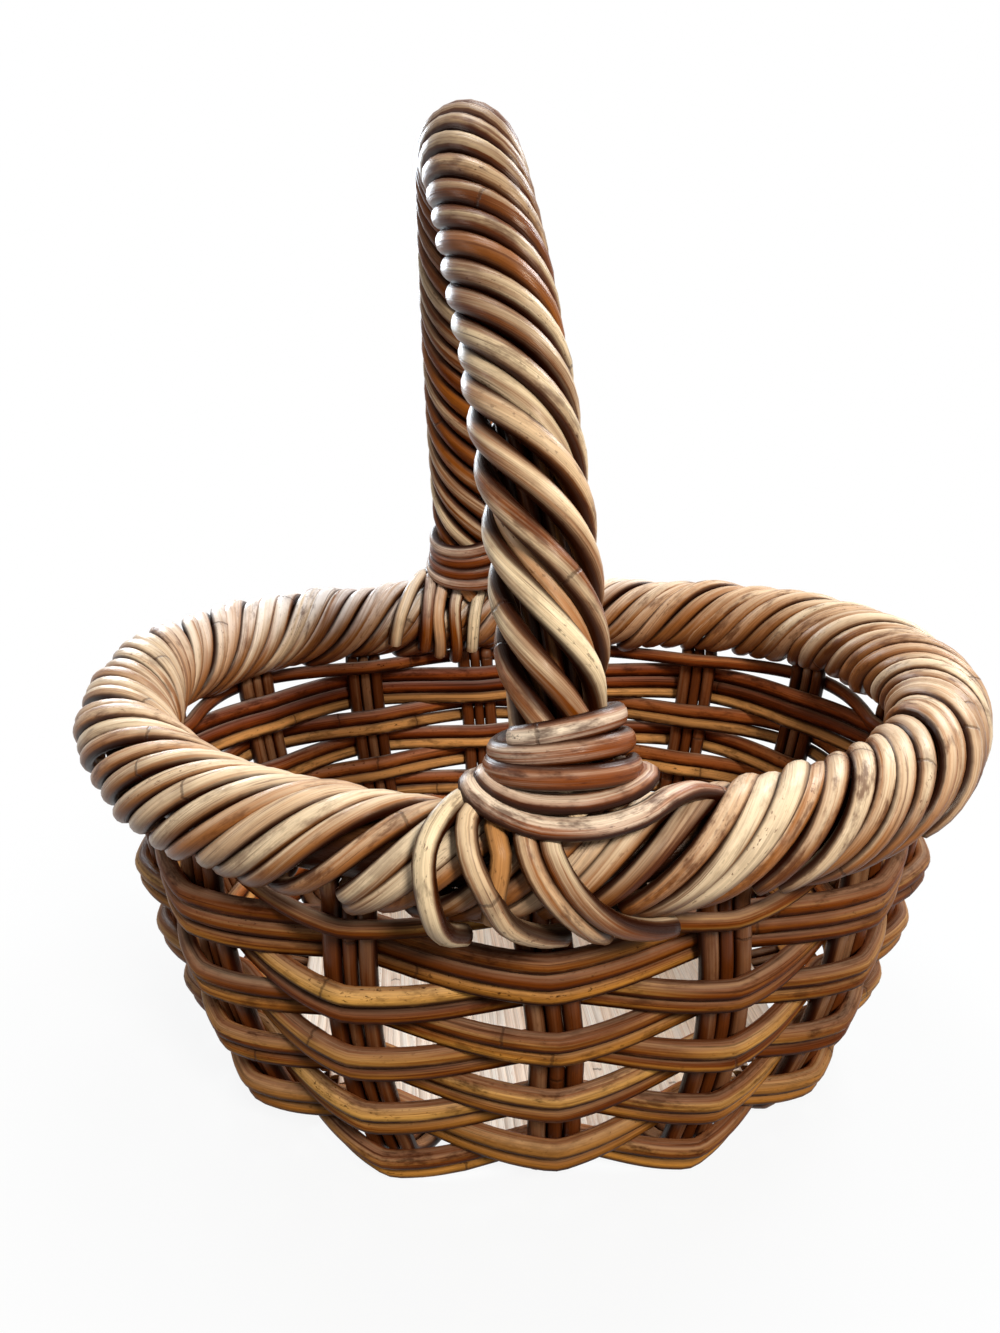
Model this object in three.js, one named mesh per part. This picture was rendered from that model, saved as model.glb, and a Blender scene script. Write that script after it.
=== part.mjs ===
// Harvest basket: an oval cane basket with a fixed overhead handle.
// Lengths are in millimetres. Z is up, X runs along the basket, the handle stands across it.
import * as THREE from 'three';

// Oval of the rim, measured on the middle of the rolled border
const RIM_HALF_LENGTH = 180;
const RIM_HALF_WIDTH = 143;
const OVAL_POWER = 2.17;
const RIM_HEIGHT = 164;
const RIM_END_RISE = 4.5;
const BORDER_RADIUS = 21;

// Wall: how far it stands inside the rim at its top and at its foot
const WALL_INSET_LENGTH = 3;
const WALL_INSET_WIDTH = 6;
const BASE_INSET_LENGTH = 52;
const BASE_INSET_WIDTH = 26;
const WALL_CURVE = 0.5;
const WALL_BELLY = 3;
const WALL_TILT = 2.5;
const WALL_TOP_ROOM = 3;

// Stakes: an odd number of groups, so that every course passes the other side of each next one
const STAKE_GROUPS = 15;
const STAKE_CANE = 7.4;
const STAKE_GROUP_WIDTH = 22.2;
const FOOT_LENGTH = 28;
const FOOT_THICKNESS = 5.6;
const FOOT_LIFT = 0.2;

// How far along the rim each group stands off even spacing, from the +X end
const STAKE_SHIFTS = [0, 0, 0, 0, -3, 0, 0, 0, 0, -5, -5, 7, 8, 4, 0];

// Weaving canes
const COURSES = 8;
const WEAVER = 6.7;
const LOWEST_WEAVER = 9.2;
const OUTSIDE_DIP = 1.5;
const TOP_ROOM = 4;
const TOP_CANE_ROOM = 1;
const FLAT_SHARE = 0.17;
const START_STAKE = 3;

// Base
const STICKS = 5;
const STICK_SPACING = 26;
const STICK_WIDTH = 9;
const STICK_HEIGHT = 5.8;
const STICK_ROOM = 3;
const MAT_INSET = 5;
const MAT_CANE = 7;
const MAT_THICKNESS = 5.4;

// Handle
const NEAR_STAKE = 11;
const FAR_STAKE = 4;
const HANDLE_HEIGHT = 389;
const HANDLE_LEAN = -20;
const NEAR_LEAN_CURVE = 1.8;
const FAR_LEAN_CURVE = 0.65;
const HANDLE_CORE_RADIUS = 10;
const HANDLE_CORE_FOOT = 6.6;
const HANDLE_CANE = 8;
const HANDLE_CANES = 8;
const HANDLE_TURNS = 5;
const FIRST_CANE_ANGLE = 10;
const PINCH_RADIUS = 11.4;
const SPLAY_RADIUS = 14.5;
const PINCH_REACH = 15;
const SPLAY_LIFT = 6;
const TAIL_CANE = 7.4;
const COLLAR_CANE = 6.5;
const COLLAR_TURNS = 4.4;
const COLLAR_LIFT = 11;
const COLLAR_TILT = 2.4;
const COLLAR_START_ANGLE = 6;

// Room left between pieces that touch
const GAP = 0.5;
const WINDING_GAP = 1.6;
const COLLAR_GAP = 0.9;
const TAIL_GAP = 0.9;
const SQUEEZE = 0.8;

const DEGREE = Math.PI / 180;
const UP = new THREE.Vector3(0, 0, 1);
const TUBE_STEP_ANGLE = 45;

const basket = new THREE.Group();
basket.name = 'harvest_basket';

const palette = {
  stake: new THREE.MeshStandardMaterial({ color: 0x8a5a34, roughness: 0.55, metalness: 0 }),
  weaver: new THREE.MeshStandardMaterial({ color: 0xa87a45, roughness: 0.5, metalness: 0 }),
  hoop: new THREE.MeshStandardMaterial({ color: 0x6b4427, roughness: 0.7, metalness: 0 }),
  handle: new THREE.MeshStandardMaterial({ color: 0xb98a54, roughness: 0.5, metalness: 0 }),
  collar: new THREE.MeshStandardMaterial({ color: 0x9c7a58, roughness: 0.55, metalness: 0 }),
  base: new THREE.MeshStandardMaterial({ color: 0xd9bf93, roughness: 0.6, metalness: 0 }),
};

// Adds one closed body under its own name, turned the right way out
function addPiece(name, positions, triangles, material) {
  let volume = 0;
  for (const [i, j, k] of triangles) {
    volume += positions[i].dot(positions[j].clone().cross(positions[k]));
  }
  const index = [];
  for (const [i, j, k] of triangles) {
    index.push(i, volume > 0 ? j : k, volume > 0 ? k : j);
  }
  const geometry = new THREE.BufferGeometry();
  const flat = positions.flatMap((point) => [point.x, point.y, point.z]);
  geometry.setAttribute('position', new THREE.Float32BufferAttribute(flat, 3));
  geometry.setIndex(index);
  geometry.computeVertexNormals();
  const mesh = new THREE.Mesh(geometry, material);
  mesh.name = name;
  basket.add(mesh);
}

// Joins cross sections into a skin, with a fan over each end or the last section joined to the first
function joinSections(sections, closed) {
  const count = sections[0].length;
  const positions = sections.flat();
  const triangles = [];
  const links = closed ? sections.length : sections.length - 1;
  for (let s = 0; s < links; s += 1) {
    const here = s * count;
    const there = ((s + 1) % sections.length) * count;
    for (let k = 0; k < count; k += 1) {
      const next = (k + 1) % count;
      triangles.push([here + k, there + k, there + next]);
      triangles.push([here + k, there + next, here + next]);
    }
  }
  if (!closed) {
    const last = (sections.length - 1) * count;
    const ends = [[0, sections[0], true], [last, sections[sections.length - 1], false]];
    for (const [first, section, turned] of ends) {
      const middle = section.reduce((sum, point) => sum.add(point), new THREE.Vector3());
      positions.push(middle.divideScalar(count));
      const hub = positions.length - 1;
      for (let k = 0; k < count; k += 1) {
        const next = (k + 1) % count;
        triangles.push(turned ? [hub, first + k, first + next] : [hub, first + next, first + k]);
      }
    }
  }
  return { positions, triangles };
}

// Sweeps an outline along a route. Each stop has a point, a face direction, a width and a thickness,
// and a wide outline can be bowed to lie round a rod
function sweep(name, stops, outline, material) {
  const sections = stops.map((stop, i) => {
    const before = stops[Math.max(0, i - 1)].point;
    const after = stops[Math.min(stops.length - 1, i + 1)].point;
    const along = after.clone().sub(before).normalize();
    const across = along.clone().cross(stop.face).normalize();
    const face = across.clone().cross(along).normalize();
    const bow = stop.bow ?? 0;
    return outline.map(([u, v]) => stop.point.clone()
      .addScaledVector(across, u * stop.width)
      .addScaledVector(face, v * stop.thickness - bow * (u * stop.width) ** 2));
  });
  const { positions, triangles } = joinSections(sections, false);
  addPiece(name, positions, triangles, material);
}

// Outline of one cane, and of three canes lying side by side
const CANE_OUTLINE = [18, 90, 162, 234, 306].map((angle) => [
  0.5 * Math.cos(angle * DEGREE),
  0.5 * Math.sin(angle * DEGREE),
]);
const TRIPLE_OUTLINE = [
  [-0.46, -0.5],
  [0.46, -0.5],
  [0.36, 0.5],
  [0.17, 0.2],
  [0, 0.5],
  [-0.17, 0.2],
  [-0.36, 0.5],
];

// Least room between parts of one winding that are at least half a loop apart
function reportWinding(name, stops, loopSteps) {
  let least = Infinity;
  for (let i = 0; i < stops.length; i += 1) {
    for (let j = i + Math.ceil(loopSteps / 2); j < stops.length; j += 1) {
      const room = stops[i].point.distanceTo(stops[j].point);
      least = Math.min(least, room - Math.max(stops[i].thickness, stops[j].thickness));
    }
  }
  console.log(`${name}: least gap to itself ${least.toFixed(2)} mm`);
}

// Angle on the oval for a share of the way round the rim, counted from the +X end
const ovalTable = [];
{
  const steps = 2880;
  let length = 0;
  let last = null;
  for (let i = 0; i <= steps; i += 1) {
    const angle = (i / steps) * 2 * Math.PI;
    const point = ovalAt(RIM_HALF_LENGTH, RIM_HALF_WIDTH, angle);
    if (last) {
      length += point.distanceTo(last);
    }
    ovalTable.push([length, angle]);
    last = point;
  }
}
const RIM_LENGTH = ovalTable[ovalTable.length - 1][0];

function ovalAt(halfLength, halfWidth, angle) {
  const c = Math.cos(angle);
  const s = Math.sin(angle);
  const x = halfLength * Math.sign(c) * Math.abs(c) ** (2 / OVAL_POWER);
  const y = halfWidth * Math.sign(s) * Math.abs(s) ** (2 / OVAL_POWER);
  return new THREE.Vector3(x, y, 0);
}

function ovalAngle(share) {
  const wanted = (share - Math.floor(share)) * RIM_LENGTH;
  let low = 0;
  let high = ovalTable.length - 1;
  while (high - low > 1) {
    const middle = (low + high) >> 1;
    if (ovalTable[middle][0] <= wanted) {
      low = middle;
    } else {
      high = middle;
    }
  }
  const part = (wanted - ovalTable[low][0]) / (ovalTable[high][0] - ovalTable[low][0]);
  return ovalTable[low][1] + part * (ovalTable[high][1] - ovalTable[low][1]);
}

// Middle of the rolled border with its direction along the rim and its level inward direction
function rimFrame(share) {
  const place = (s) => {
    const angle = ovalAngle(s);
    const point = ovalAt(RIM_HALF_LENGTH, RIM_HALF_WIDTH, angle);
    point.z = RIM_HEIGHT + RIM_END_RISE * Math.cos(2 * angle);
    return point;
  };
  const along = place(share + 0.002).sub(place(share - 0.002)).normalize();
  const inward = UP.clone().cross(along).normalize();
  return { point: place(share), along, inward };
}

// A point on the border: angle 0 is its inner side, 90 its top, 180 its outer side
function borderPoint(share, angle, radius) {
  const { point, inward } = rimFrame(share);
  return point
    .addScaledVector(inward, radius * Math.cos(angle * DEGREE))
    .addScaledVector(UP, radius * Math.sin(angle * DEGREE));
}

function borderNormal(share, angle) {
  const { inward } = rimFrame(share);
  return inward.multiplyScalar(Math.cos(angle * DEGREE)).addScaledVector(UP, Math.sin(angle * DEGREE));
}

// Middle surface of the woven wall
const BORDER_BOTTOM = RIM_HEIGHT - BORDER_RADIUS;
const WALL_TOP = BORDER_BOTTOM - WALL_TOP_ROOM;
const WALL_TOP_HALF_LENGTH = RIM_HALF_LENGTH - WALL_INSET_LENGTH;
const WALL_TOP_HALF_WIDTH = RIM_HALF_WIDTH - WALL_INSET_WIDTH;
const BASE_HALF_LENGTH = RIM_HALF_LENGTH - BASE_INSET_LENGTH;
const BASE_HALF_WIDTH = RIM_HALF_WIDTH - BASE_INSET_WIDTH;

function wallPoint(share, level) {
  const part = level / WALL_TOP;
  const flare = part ** WALL_CURVE;
  const belly = WALL_BELLY * 4 * part * (1 - part);
  const angle = ovalAngle(share);
  const halfLength = BASE_HALF_LENGTH + (WALL_TOP_HALF_LENGTH - BASE_HALF_LENGTH) * flare + belly;
  const halfWidth = BASE_HALF_WIDTH + (WALL_TOP_HALF_WIDTH - BASE_HALF_WIDTH) * flare + belly;
  const point = ovalAt(halfLength, halfWidth, angle);
  point.z = level + part * (RIM_END_RISE * Math.cos(2 * angle) + WALL_TILT * Math.sin(angle));
  return point;
}

// Share of the way round at which a stake group stands. Its shift is used up before it meets the border.
function stakeShare(stake, level) {
  const shift = (STAKE_SHIFTS[stake % STAKE_GROUPS] ?? 0) / RIM_LENGTH;
  return stake / STAKE_GROUPS + shift * Math.min(1, (1 - level / WALL_TOP) / 0.4);
}

function wallNormal(share, level) {
  const along = wallPoint(share + 0.002, level).sub(wallPoint(share - 0.002, level));
  const upward = wallPoint(share, level + 0.5).sub(wallPoint(share, level - 0.5));
  return along.cross(upward).normalize();
}

// Weaving canes lie this far outside and inside the middle of the stakes, flat against them
const FLAT_HALF = FLAT_SHARE * RIM_LENGTH / STAKE_GROUPS;
const OUTER_REACH = STAKE_CANE / 2 + GAP + WEAVER * 0.5 * Math.cos(36 * DEGREE);
const INNER_REACH = STAKE_CANE / 2 + GAP + WEAVER * 0.5;

// Levels at equal steps up the inner side of the weave, where the canes lie closest
const slopeTable = [[0, 1]];
{
  const step = 0.25;
  const innerPoint = (share, level) => wallPoint(share, level)
    .addScaledVector(wallNormal(share, level), -INNER_REACH);
  for (let level = 1 + step; level <= WALL_TOP; level += step) {
    const rises = [0, 0.25].map((share) => innerPoint(share, level)
      .distanceTo(innerPoint(share, level - step)));
    const row = slopeTable[slopeTable.length - 1];
    slopeTable.push([row[0] + Math.min(...rises), level]);
  }
}

function slopeOf(level) {
  return slopeTable.find((row) => row[1] >= level)[0];
}

function levelOf(slope) {
  const row = slopeTable.find((entry) => entry[0] >= slope);
  return row ? row[1] : WALL_TOP;
}

// Rim hoop: the stout ring that the border canes are rolled round
const WRAP_RADIUS = BORDER_RADIUS - STAKE_CANE / 2;
const ROLL_BOW = 0.5 / (2 * WRAP_RADIUS);
const EDGE_DIP = ROLL_BOW * (0.46 * STAKE_GROUP_WIDTH) ** 2;
const HOOP_RADIUS = WRAP_RADIUS * Math.cos(TUBE_STEP_ANGLE / 2 * DEGREE) - STAKE_CANE / 2 - EDGE_DIP - GAP;
{
  const steps = 40;
  const sections = [];
  for (let i = 0; i < steps; i += 1) {
    const section = [];
    for (let k = 0; k < 6; k += 1) {
      section.push(borderPoint(i / steps, k * 60, HOOP_RADIUS));
    }
    sections.push(section);
  }
  const { positions, triangles } = joinSections(sections, true);
  addPiece('rim_hoop', positions, triangles, palette.hoop);
}

// Stake groups: three canes that rise from under the base, then roll twice round the rim hoop.
// The roll stands still along the rim where it passes between the uprights, and runs on elsewhere.
const ROLL_PER_TURN = 1.5;
const STILL_START = 290;
const STILL_ANGLE = 50;

function rollAdvance(angle) {
  const turned = angle + 360 - STILL_START - STILL_ANGLE;
  const turns = Math.floor(turned / 360);
  const rest = turned - 360 * turns;
  return ROLL_PER_TURN * (turns + Math.min(1, rest / (360 - STILL_ANGLE)));
}

function rollShare(stake, angle) {
  return (stake - rollAdvance(angle)) / STAKE_GROUPS;
}

function rollWidth(stake, angle) {
  const share = rollShare(stake, angle);
  const before = borderPoint(rollShare(stake, angle - 20), angle - 20, WRAP_RADIUS);
  const after = borderPoint(rollShare(stake, angle + 20), angle + 20, WRAP_RADIUS);
  const along = after.sub(before).normalize();
  const half = 0.25 / STAKE_GROUPS;
  const pitch = borderPoint(share + half, angle, WRAP_RADIUS)
    .sub(borderPoint(share - half, angle, WRAP_RADIUS));
  pitch.addScaledVector(along, -pitch.dot(along));
  return pitch.length() - WINDING_GAP;
}

const ROLL_START = -35;
const ROLL_END = 575;
const rollAngles = [ROLL_START];
for (let angle = 0; angle < ROLL_END; angle += TUBE_STEP_ANGLE) {
  rollAngles.push(angle);
}
rollAngles.push(ROLL_END);
for (let stake = 0; stake < STAKE_GROUPS; stake += 1) {
  const footShare = stakeShare(stake, 0);
  const { inward } = rimFrame(footShare);
  const stops = [];
  const baseEdge = ovalAt(BASE_HALF_LENGTH, BASE_HALF_WIDTH, ovalAngle(footShare));
  for (const inset of [FOOT_LENGTH, FOOT_LENGTH / 7]) {
    const point = baseEdge.clone().addScaledVector(inward, inset);
    point.z = FOOT_THICKNESS / 2 + FOOT_LIFT;
    stops.push({ point, face: UP, width: STAKE_GROUP_WIDTH, thickness: FOOT_THICKNESS });
  }
  for (const level of [0.045, 0.08, 0.14, 0.26, 0.42, 0.6, 0.78, 1].map((part) => part * WALL_TOP)) {
    const share = stakeShare(stake, level);
    const point = wallPoint(share, level);
    const face = wallNormal(share, level).negate();
    stops.push({ point, face, width: STAKE_GROUP_WIDTH, thickness: STAKE_CANE });
  }
  for (const angle of rollAngles) {
    const rolled = rollShare(stake, angle);
    const face = borderNormal(rolled, angle);
    const width = angle < 0 ? STAKE_GROUP_WIDTH : rollWidth(stake, angle);
    const bow = angle < 0 ? 0 : ROLL_BOW;
    const point = borderPoint(rolled, angle, WRAP_RADIUS);
    stops.push({ point, face, width, thickness: STAKE_CANE, bow });
  }
  sweep(`stake_group_${stake + 1}`, stops, TRIPLE_OUTLINE, palette.stake);
  if (stake === 0) {
    reportWinding('stake_group_1', stops.slice(8), 360 / TUBE_STEP_ANGLE);
  }
}

// Weaving canes: eight courses of two canes and two single canes at the top
const CANE_STEP = WEAVER + GAP;

function weave(name, slope, firstSide) {
  const stops = [];
  for (let k = 0; k <= STAKE_GROUPS; k += 1) {
    const outside = firstSide * (k % 2 === 0 ? 1 : -1) > 0;
    const level = levelOf(slope) - (outside ? OUTSIDE_DIP : 0);
    const share = stakeShare(START_STAKE + k, level);
    const face = wallNormal(share, level);
    const along = wallPoint(share + 0.002, level).sub(wallPoint(share - 0.002, level)).normalize();
    for (const part of [-FLAT_HALF, FLAT_HALF]) {
      const point = wallPoint(share, level)
        .addScaledVector(face, outside ? OUTER_REACH : -INNER_REACH)
        .addScaledVector(along, part);
      stops.push({ point, face, width: WEAVER, thickness: WEAVER });
    }
  }
  sweep(name, stops, CANE_OUTLINE, palette.weaver);
}

const FIRST_SLOPE = slopeOf(LOWEST_WEAVER) + CANE_STEP / 2;
const TOP_SLOPE = slopeOf(BORDER_BOTTOM - TOP_ROOM - WEAVER / 2);
const LAST_SLOPE = TOP_SLOPE - 2.5 * CANE_STEP - TOP_CANE_ROOM;
for (let course = 0; course < COURSES; course += 1) {
  const slope = FIRST_SLOPE + (LAST_SLOPE - FIRST_SLOPE) * course / (COURSES - 1);
  const side = course % 2 === 0 ? -1 : 1;
  weave(`weaver_${course + 1}_lower`, slope - CANE_STEP / 2, side);
  weave(`weaver_${course + 1}_upper`, slope + CANE_STEP / 2, side);
}
weave('top_weaver_lower', LAST_SLOPE + 1.5 * CANE_STEP, 1);
weave('top_weaver_upper', TOP_SLOPE, -1);

// Base sticks: flat-bottomed canes along the basket, which it stands on
for (let stick = 0; stick < STICKS; stick += 1) {
  const side = (stick - (STICKS - 1) / 2) * STICK_SPACING;
  const roomLength = BASE_HALF_LENGTH - FOOT_LENGTH - STICK_ROOM;
  const roomWidth = BASE_HALF_WIDTH - FOOT_LENGTH - STICK_ROOM;
  const reach = (Math.abs(side) + STICK_WIDTH / 2) / roomWidth;
  const half = roomLength * (1 - reach ** OVAL_POWER) ** (1 / OVAL_POWER);
  const outline = [
    [-0.5, 0],
    [0.5, 0],
    [0.5, 0.4],
    [0.3, 0.85],
    [0, 1],
    [-0.3, 0.85],
    [-0.5, 0.4],
  ];
  const sections = [-half, half].map((x) => outline
    .map(([u, v]) => new THREE.Vector3(x, side + u * STICK_WIDTH, v * STICK_HEIGHT)));
  const { positions, triangles } = joinSections(sections, false);
  addPiece(`base_stick_${stick + 1}`, positions, triangles, palette.base);
}

// Base mat: fine canes lying tight side by side across the sticks
{
  const floor = Math.max(STICK_HEIGHT, FOOT_THICKNESS + FOOT_LIFT) + GAP;
  const halfLength = BASE_HALF_LENGTH - MAT_INSET;
  const halfWidth = BASE_HALF_WIDTH - MAT_INSET;
  const canes = Math.floor(1.96 * halfLength / MAT_CANE);
  const sections = [];
  for (let i = 0; i <= 2 * canes; i += 1) {
    const x = (i - canes) * MAT_CANE / 2;
    const y = halfWidth * (1 - (Math.abs(x) / halfLength) ** OVAL_POWER) ** (1 / OVAL_POWER);
    const top = floor + (i % 2 === 1 ? MAT_THICKNESS : MAT_THICKNESS * 0.72);
    sections.push([
      new THREE.Vector3(x, -y, floor),
      new THREE.Vector3(x, y, floor),
      new THREE.Vector3(x, y, top),
      new THREE.Vector3(x, -y, top),
    ]);
  }
  const { positions, triangles } = joinSections(sections, false);
  addPiece('base_mat', positions, triangles, palette.base);
}

// Route of the handle, from the near foot over to the far foot
const NEAR_SHARE = stakeShare(NEAR_STAKE, 0);
const FAR_SHARE = stakeShare(FAR_STAKE, 0);
const nearFoot = rimFrame(NEAR_SHARE).point;
const farFoot = rimFrame(FAR_SHARE).point;
const ARCH = [
  [1, 0],
  [0.992, 0.06],
  [0.955, 0.167],
  [0.825, 0.4],
  [0.63, 0.635],
  [0.397, 0.838],
  [0.2, 0.966],
  [0, 1],
];
const archRise = HANDLE_HEIGHT - nearFoot.z;
function archStop(out, rise, foot, leanCurve) {
  const topX = nearFoot.x + HANDLE_LEAN;
  const x = foot.x + (topX - foot.x) * rise ** leanCurve;
  return new THREE.Vector3(x, foot.y * out, foot.z + archRise * rise);
}
const archRoute = new THREE.CatmullRomCurve3([
  ...ARCH.map(([out, rise]) => archStop(out, rise, nearFoot, NEAR_LEAN_CURVE)),
  ...ARCH.slice(0, -1).reverse().map(([out, rise]) => archStop(out, rise, farFoot, FAR_LEAN_CURVE)),
], false, 'centripetal');
archRoute.arcLengthDivisions = 800;
const ARCH_LENGTH = archRoute.getLength();

function archFrame(length) {
  const part = Math.min(1, Math.max(0, length / ARCH_LENGTH));
  const point = archRoute.getPointAt(part);
  const along = archRoute.getTangentAt(part).normalize();
  const sideways = new THREE.Vector3(1, 0, 0);
  sideways.addScaledVector(along, -sideways.dot(along)).normalize();
  const outward = sideways.clone().cross(along).normalize();
  return { point, along, sideways, outward };
}

function archRadial(length, angle) {
  const { sideways, outward } = archFrame(length);
  return sideways.multiplyScalar(Math.cos(angle)).addScaledVector(outward, Math.sin(angle));
}

function archPoint(length, angle, radius) {
  return archFrame(length).point.addScaledVector(archRadial(length, angle), radius);
}

// Lengths along the handle at its feet: the canes leave the border, are pinched by the collar, then open out
const COLLAR_PITCH = COLLAR_CANE + COLLAR_GAP;
const SPLAY_LENGTH = BORDER_RADIUS + SPLAY_LIFT;
const COLLAR_START = BORDER_RADIUS + COLLAR_LIFT;
const COLLAR_END = COLLAR_START + COLLAR_PITCH * COLLAR_TURNS;
const PINCH_END = COLLAR_END + PINCH_REACH;
const TWIST_RADIUS = (HANDLE_CORE_RADIUS + GAP + HANDLE_CANE / 2) / Math.cos(18 * DEGREE);

// A value that changes evenly between rows of length and value, counted from the nearer foot
function alongFoot(rows, length) {
  const reach = Math.min(length, ARCH_LENGTH - length);
  const next = rows.findIndex((row) => row[0] >= reach);
  if (next === 0) {
    return rows[0][1];
  }
  if (next < 0) {
    return rows[rows.length - 1][1];
  }
  const part = (reach - rows[next - 1][0]) / (rows[next][0] - rows[next - 1][0]);
  return rows[next - 1][1] + part * (rows[next][1] - rows[next - 1][1]);
}

function twistRadius(length) {
  const rows = [
    [SPLAY_LENGTH, SPLAY_RADIUS],
    [COLLAR_END, PINCH_RADIUS],
    [PINCH_END, TWIST_RADIUS],
  ];
  return alongFoot(rows, length);
}

// Handle core: the bent rod inside the twist, its two ends slimmed and hollowed to sit on the border
const SEAT_RADIUS = BORDER_RADIUS + GAP;
const SEAT_ROOM = 0.8;
const CORE_START = BORDER_RADIUS + HANDLE_CANE;
{
  const steps = 20;
  const lengths = [CORE_START, COLLAR_END];
  for (let i = 0; i <= steps; i += 1) {
    lengths.push(PINCH_END + (ARCH_LENGTH - 2 * PINCH_END) * i / steps);
  }
  lengths.push(ARCH_LENGTH - COLLAR_END, ARCH_LENGTH - CORE_START);
  const ring = (length) => {
    const radius = alongFoot([[COLLAR_END, HANDLE_CORE_FOOT], [PINCH_END, HANDLE_CORE_RADIUS]], length);
    return [0, 45, 90, 135, 180, 225, 270, 315].map((angle) => archPoint(length, angle * DEGREE, radius));
  };
  const seat = (length, foot) => ring(length).map((point) => {
    const aside = point.y - foot.y;
    return point.setZ(foot.z + Math.sqrt(SEAT_RADIUS ** 2 - aside ** 2) + SEAT_ROOM);
  });
  const sections = [
    seat(CORE_START, nearFoot),
    ...lengths.map(ring),
    seat(ARCH_LENGTH - CORE_START, farFoot),
  ];
  const { positions, triangles } = joinSections(sections, false);
  addPiece('handle_core', positions, triangles, palette.hoop);
}

// Handle canes: twisted round the core, pinched under the collars, then splayed over the border.
// Each row is one tail: places along the rim from the foot, in cane widths, and angles on the border.
const NEAR_TAILS = [
  [[2.8, 88], [3.5, 60], [3.9, 25], [4, -5], [4, -30]],
  [[0.6, 122], [0.4, 152], [1.1, 182], [2.2, 210], [3.7, 236]],
  [[-0.9, 126], [-1, 154], [-0.3, 182], [0.7, 210], [1.6, 236]],
  [[-2.5, 118], [-3, 146], [-2.6, 176], [-1.8, 206], [-0.6, 236]],
  [[-3.3, 98], [-4.6, 120], [-5.1, 152], [-5.1, 192], [-4.7, 232]],
  [[-1.3, 60], [-1.4, 36], [-1.3, 12], [-1.2, -12], [-1, -32]],
  [[0.4, 55], [0.5, 32], [0.6, 8], [0.6, -14], [0.6, -34]],
  [[1.8, 60], [2, 35], [2.3, 10], [2.4, -12], [2.4, -32]],
];
const FAR_TAILS = [
  [[-3, 98], [-3.8, 122], [-4.1, 155], [-4.2, 195], [-4.2, 232]],
  [[-1.6, 118], [-2.1, 140], [-2.4, 170], [-2.5, 205], [-2.5, 236]],
  [[0.4, 124], [0.2, 150], [0, 178], [-0.4, 208], [-0.6, 236]],
  [[1.8, 116], [1.9, 140], [1.8, 170], [1.5, 203], [1.3, 235]],
  [[2.5, 72], [3.9, 54], [5.1, 30], [5.9, 0], [6, -28]],
  [[1.8, 62], [2.5, 38], [3.2, 12], [3.5, -12], [3.6, -34]],
  [[0.1, 56], [0.8, 32], [1.4, 8], [1.8, -14], [1.9, -34]],
  [[-1.4, 60], [-1, 36], [-0.5, 12], [-0.1, -10], [0, -32]],
];
const TAIL_RADIUS = BORDER_RADIUS + TAIL_GAP + HANDLE_CANE / 2;

function twistAngle(cane, length) {
  const first = (FIRST_CANE_ANGLE + cane * 360 / HANDLE_CANES) * DEGREE;
  const reach = (length - SPLAY_LENGTH) / (ARCH_LENGTH - 2 * SPLAY_LENGTH);
  const part = Math.min(1, Math.max(0, reach));
  const eased = part - 0.035 * Math.sin(2 * Math.PI * part);
  return first + eased * HANDLE_TURNS * 2 * Math.PI;
}

function twistWidth(cane, length) {
  const radius = twistRadius(length);
  const here = archPoint(length, twistAngle(cane, length), radius);
  const before = archPoint(length - 2, twistAngle(cane, length - 2), radius);
  const after = archPoint(length + 2, twistAngle(cane, length + 2), radius);
  const along = after.sub(before).normalize();
  const beside = archPoint(length, twistAngle(cane + 1, length), radius).sub(here);
  beside.addScaledVector(along, -beside.dot(along));
  return Math.min(HANDLE_CANE, beside.length() * SQUEEZE);
}

function tailStops(row, footShare) {
  return row.map(([across, angle]) => {
    const share = footShare + across * HANDLE_CANE / RIM_LENGTH;
    return {
      point: borderPoint(share, angle, TAIL_RADIUS),
      face: borderNormal(share, angle),
      width: TAIL_CANE,
      thickness: TAIL_CANE,
    };
  });
}

const footLengths = [SPLAY_LENGTH, (SPLAY_LENGTH + COLLAR_END) / 2, COLLAR_END];
const twistLengths = [...footLengths];
const twistSteps = HANDLE_TURNS * 7;
for (let i = 0; i <= twistSteps; i += 1) {
  twistLengths.push(PINCH_END + (ARCH_LENGTH - 2 * PINCH_END) * i / twistSteps);
}
twistLengths.push(...footLengths.map((length) => ARCH_LENGTH - length).reverse());
for (let cane = 0; cane < HANDLE_CANES; cane += 1) {
  const twisted = twistLengths.map((length) => {
    const angle = twistAngle(cane, length);
    const width = twistWidth(cane, length);
    return {
      point: archPoint(length, angle, twistRadius(length)),
      face: archRadial(length, angle),
      width,
      thickness: Math.min(HANDLE_CANE, 1.15 * width),
    };
  });
  const stops = [
    ...tailStops(NEAR_TAILS[cane], NEAR_SHARE).reverse(),
    ...twisted,
    ...tailStops(FAR_TAILS[cane], FAR_SHARE),
  ];
  sweep(`handle_cane_${cane + 1}`, stops, CANE_OUTLINE, palette.handle);
  if (cane === 0) {
    reportWinding('handle_cane_1', twisted, 8);
  }
}

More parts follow.
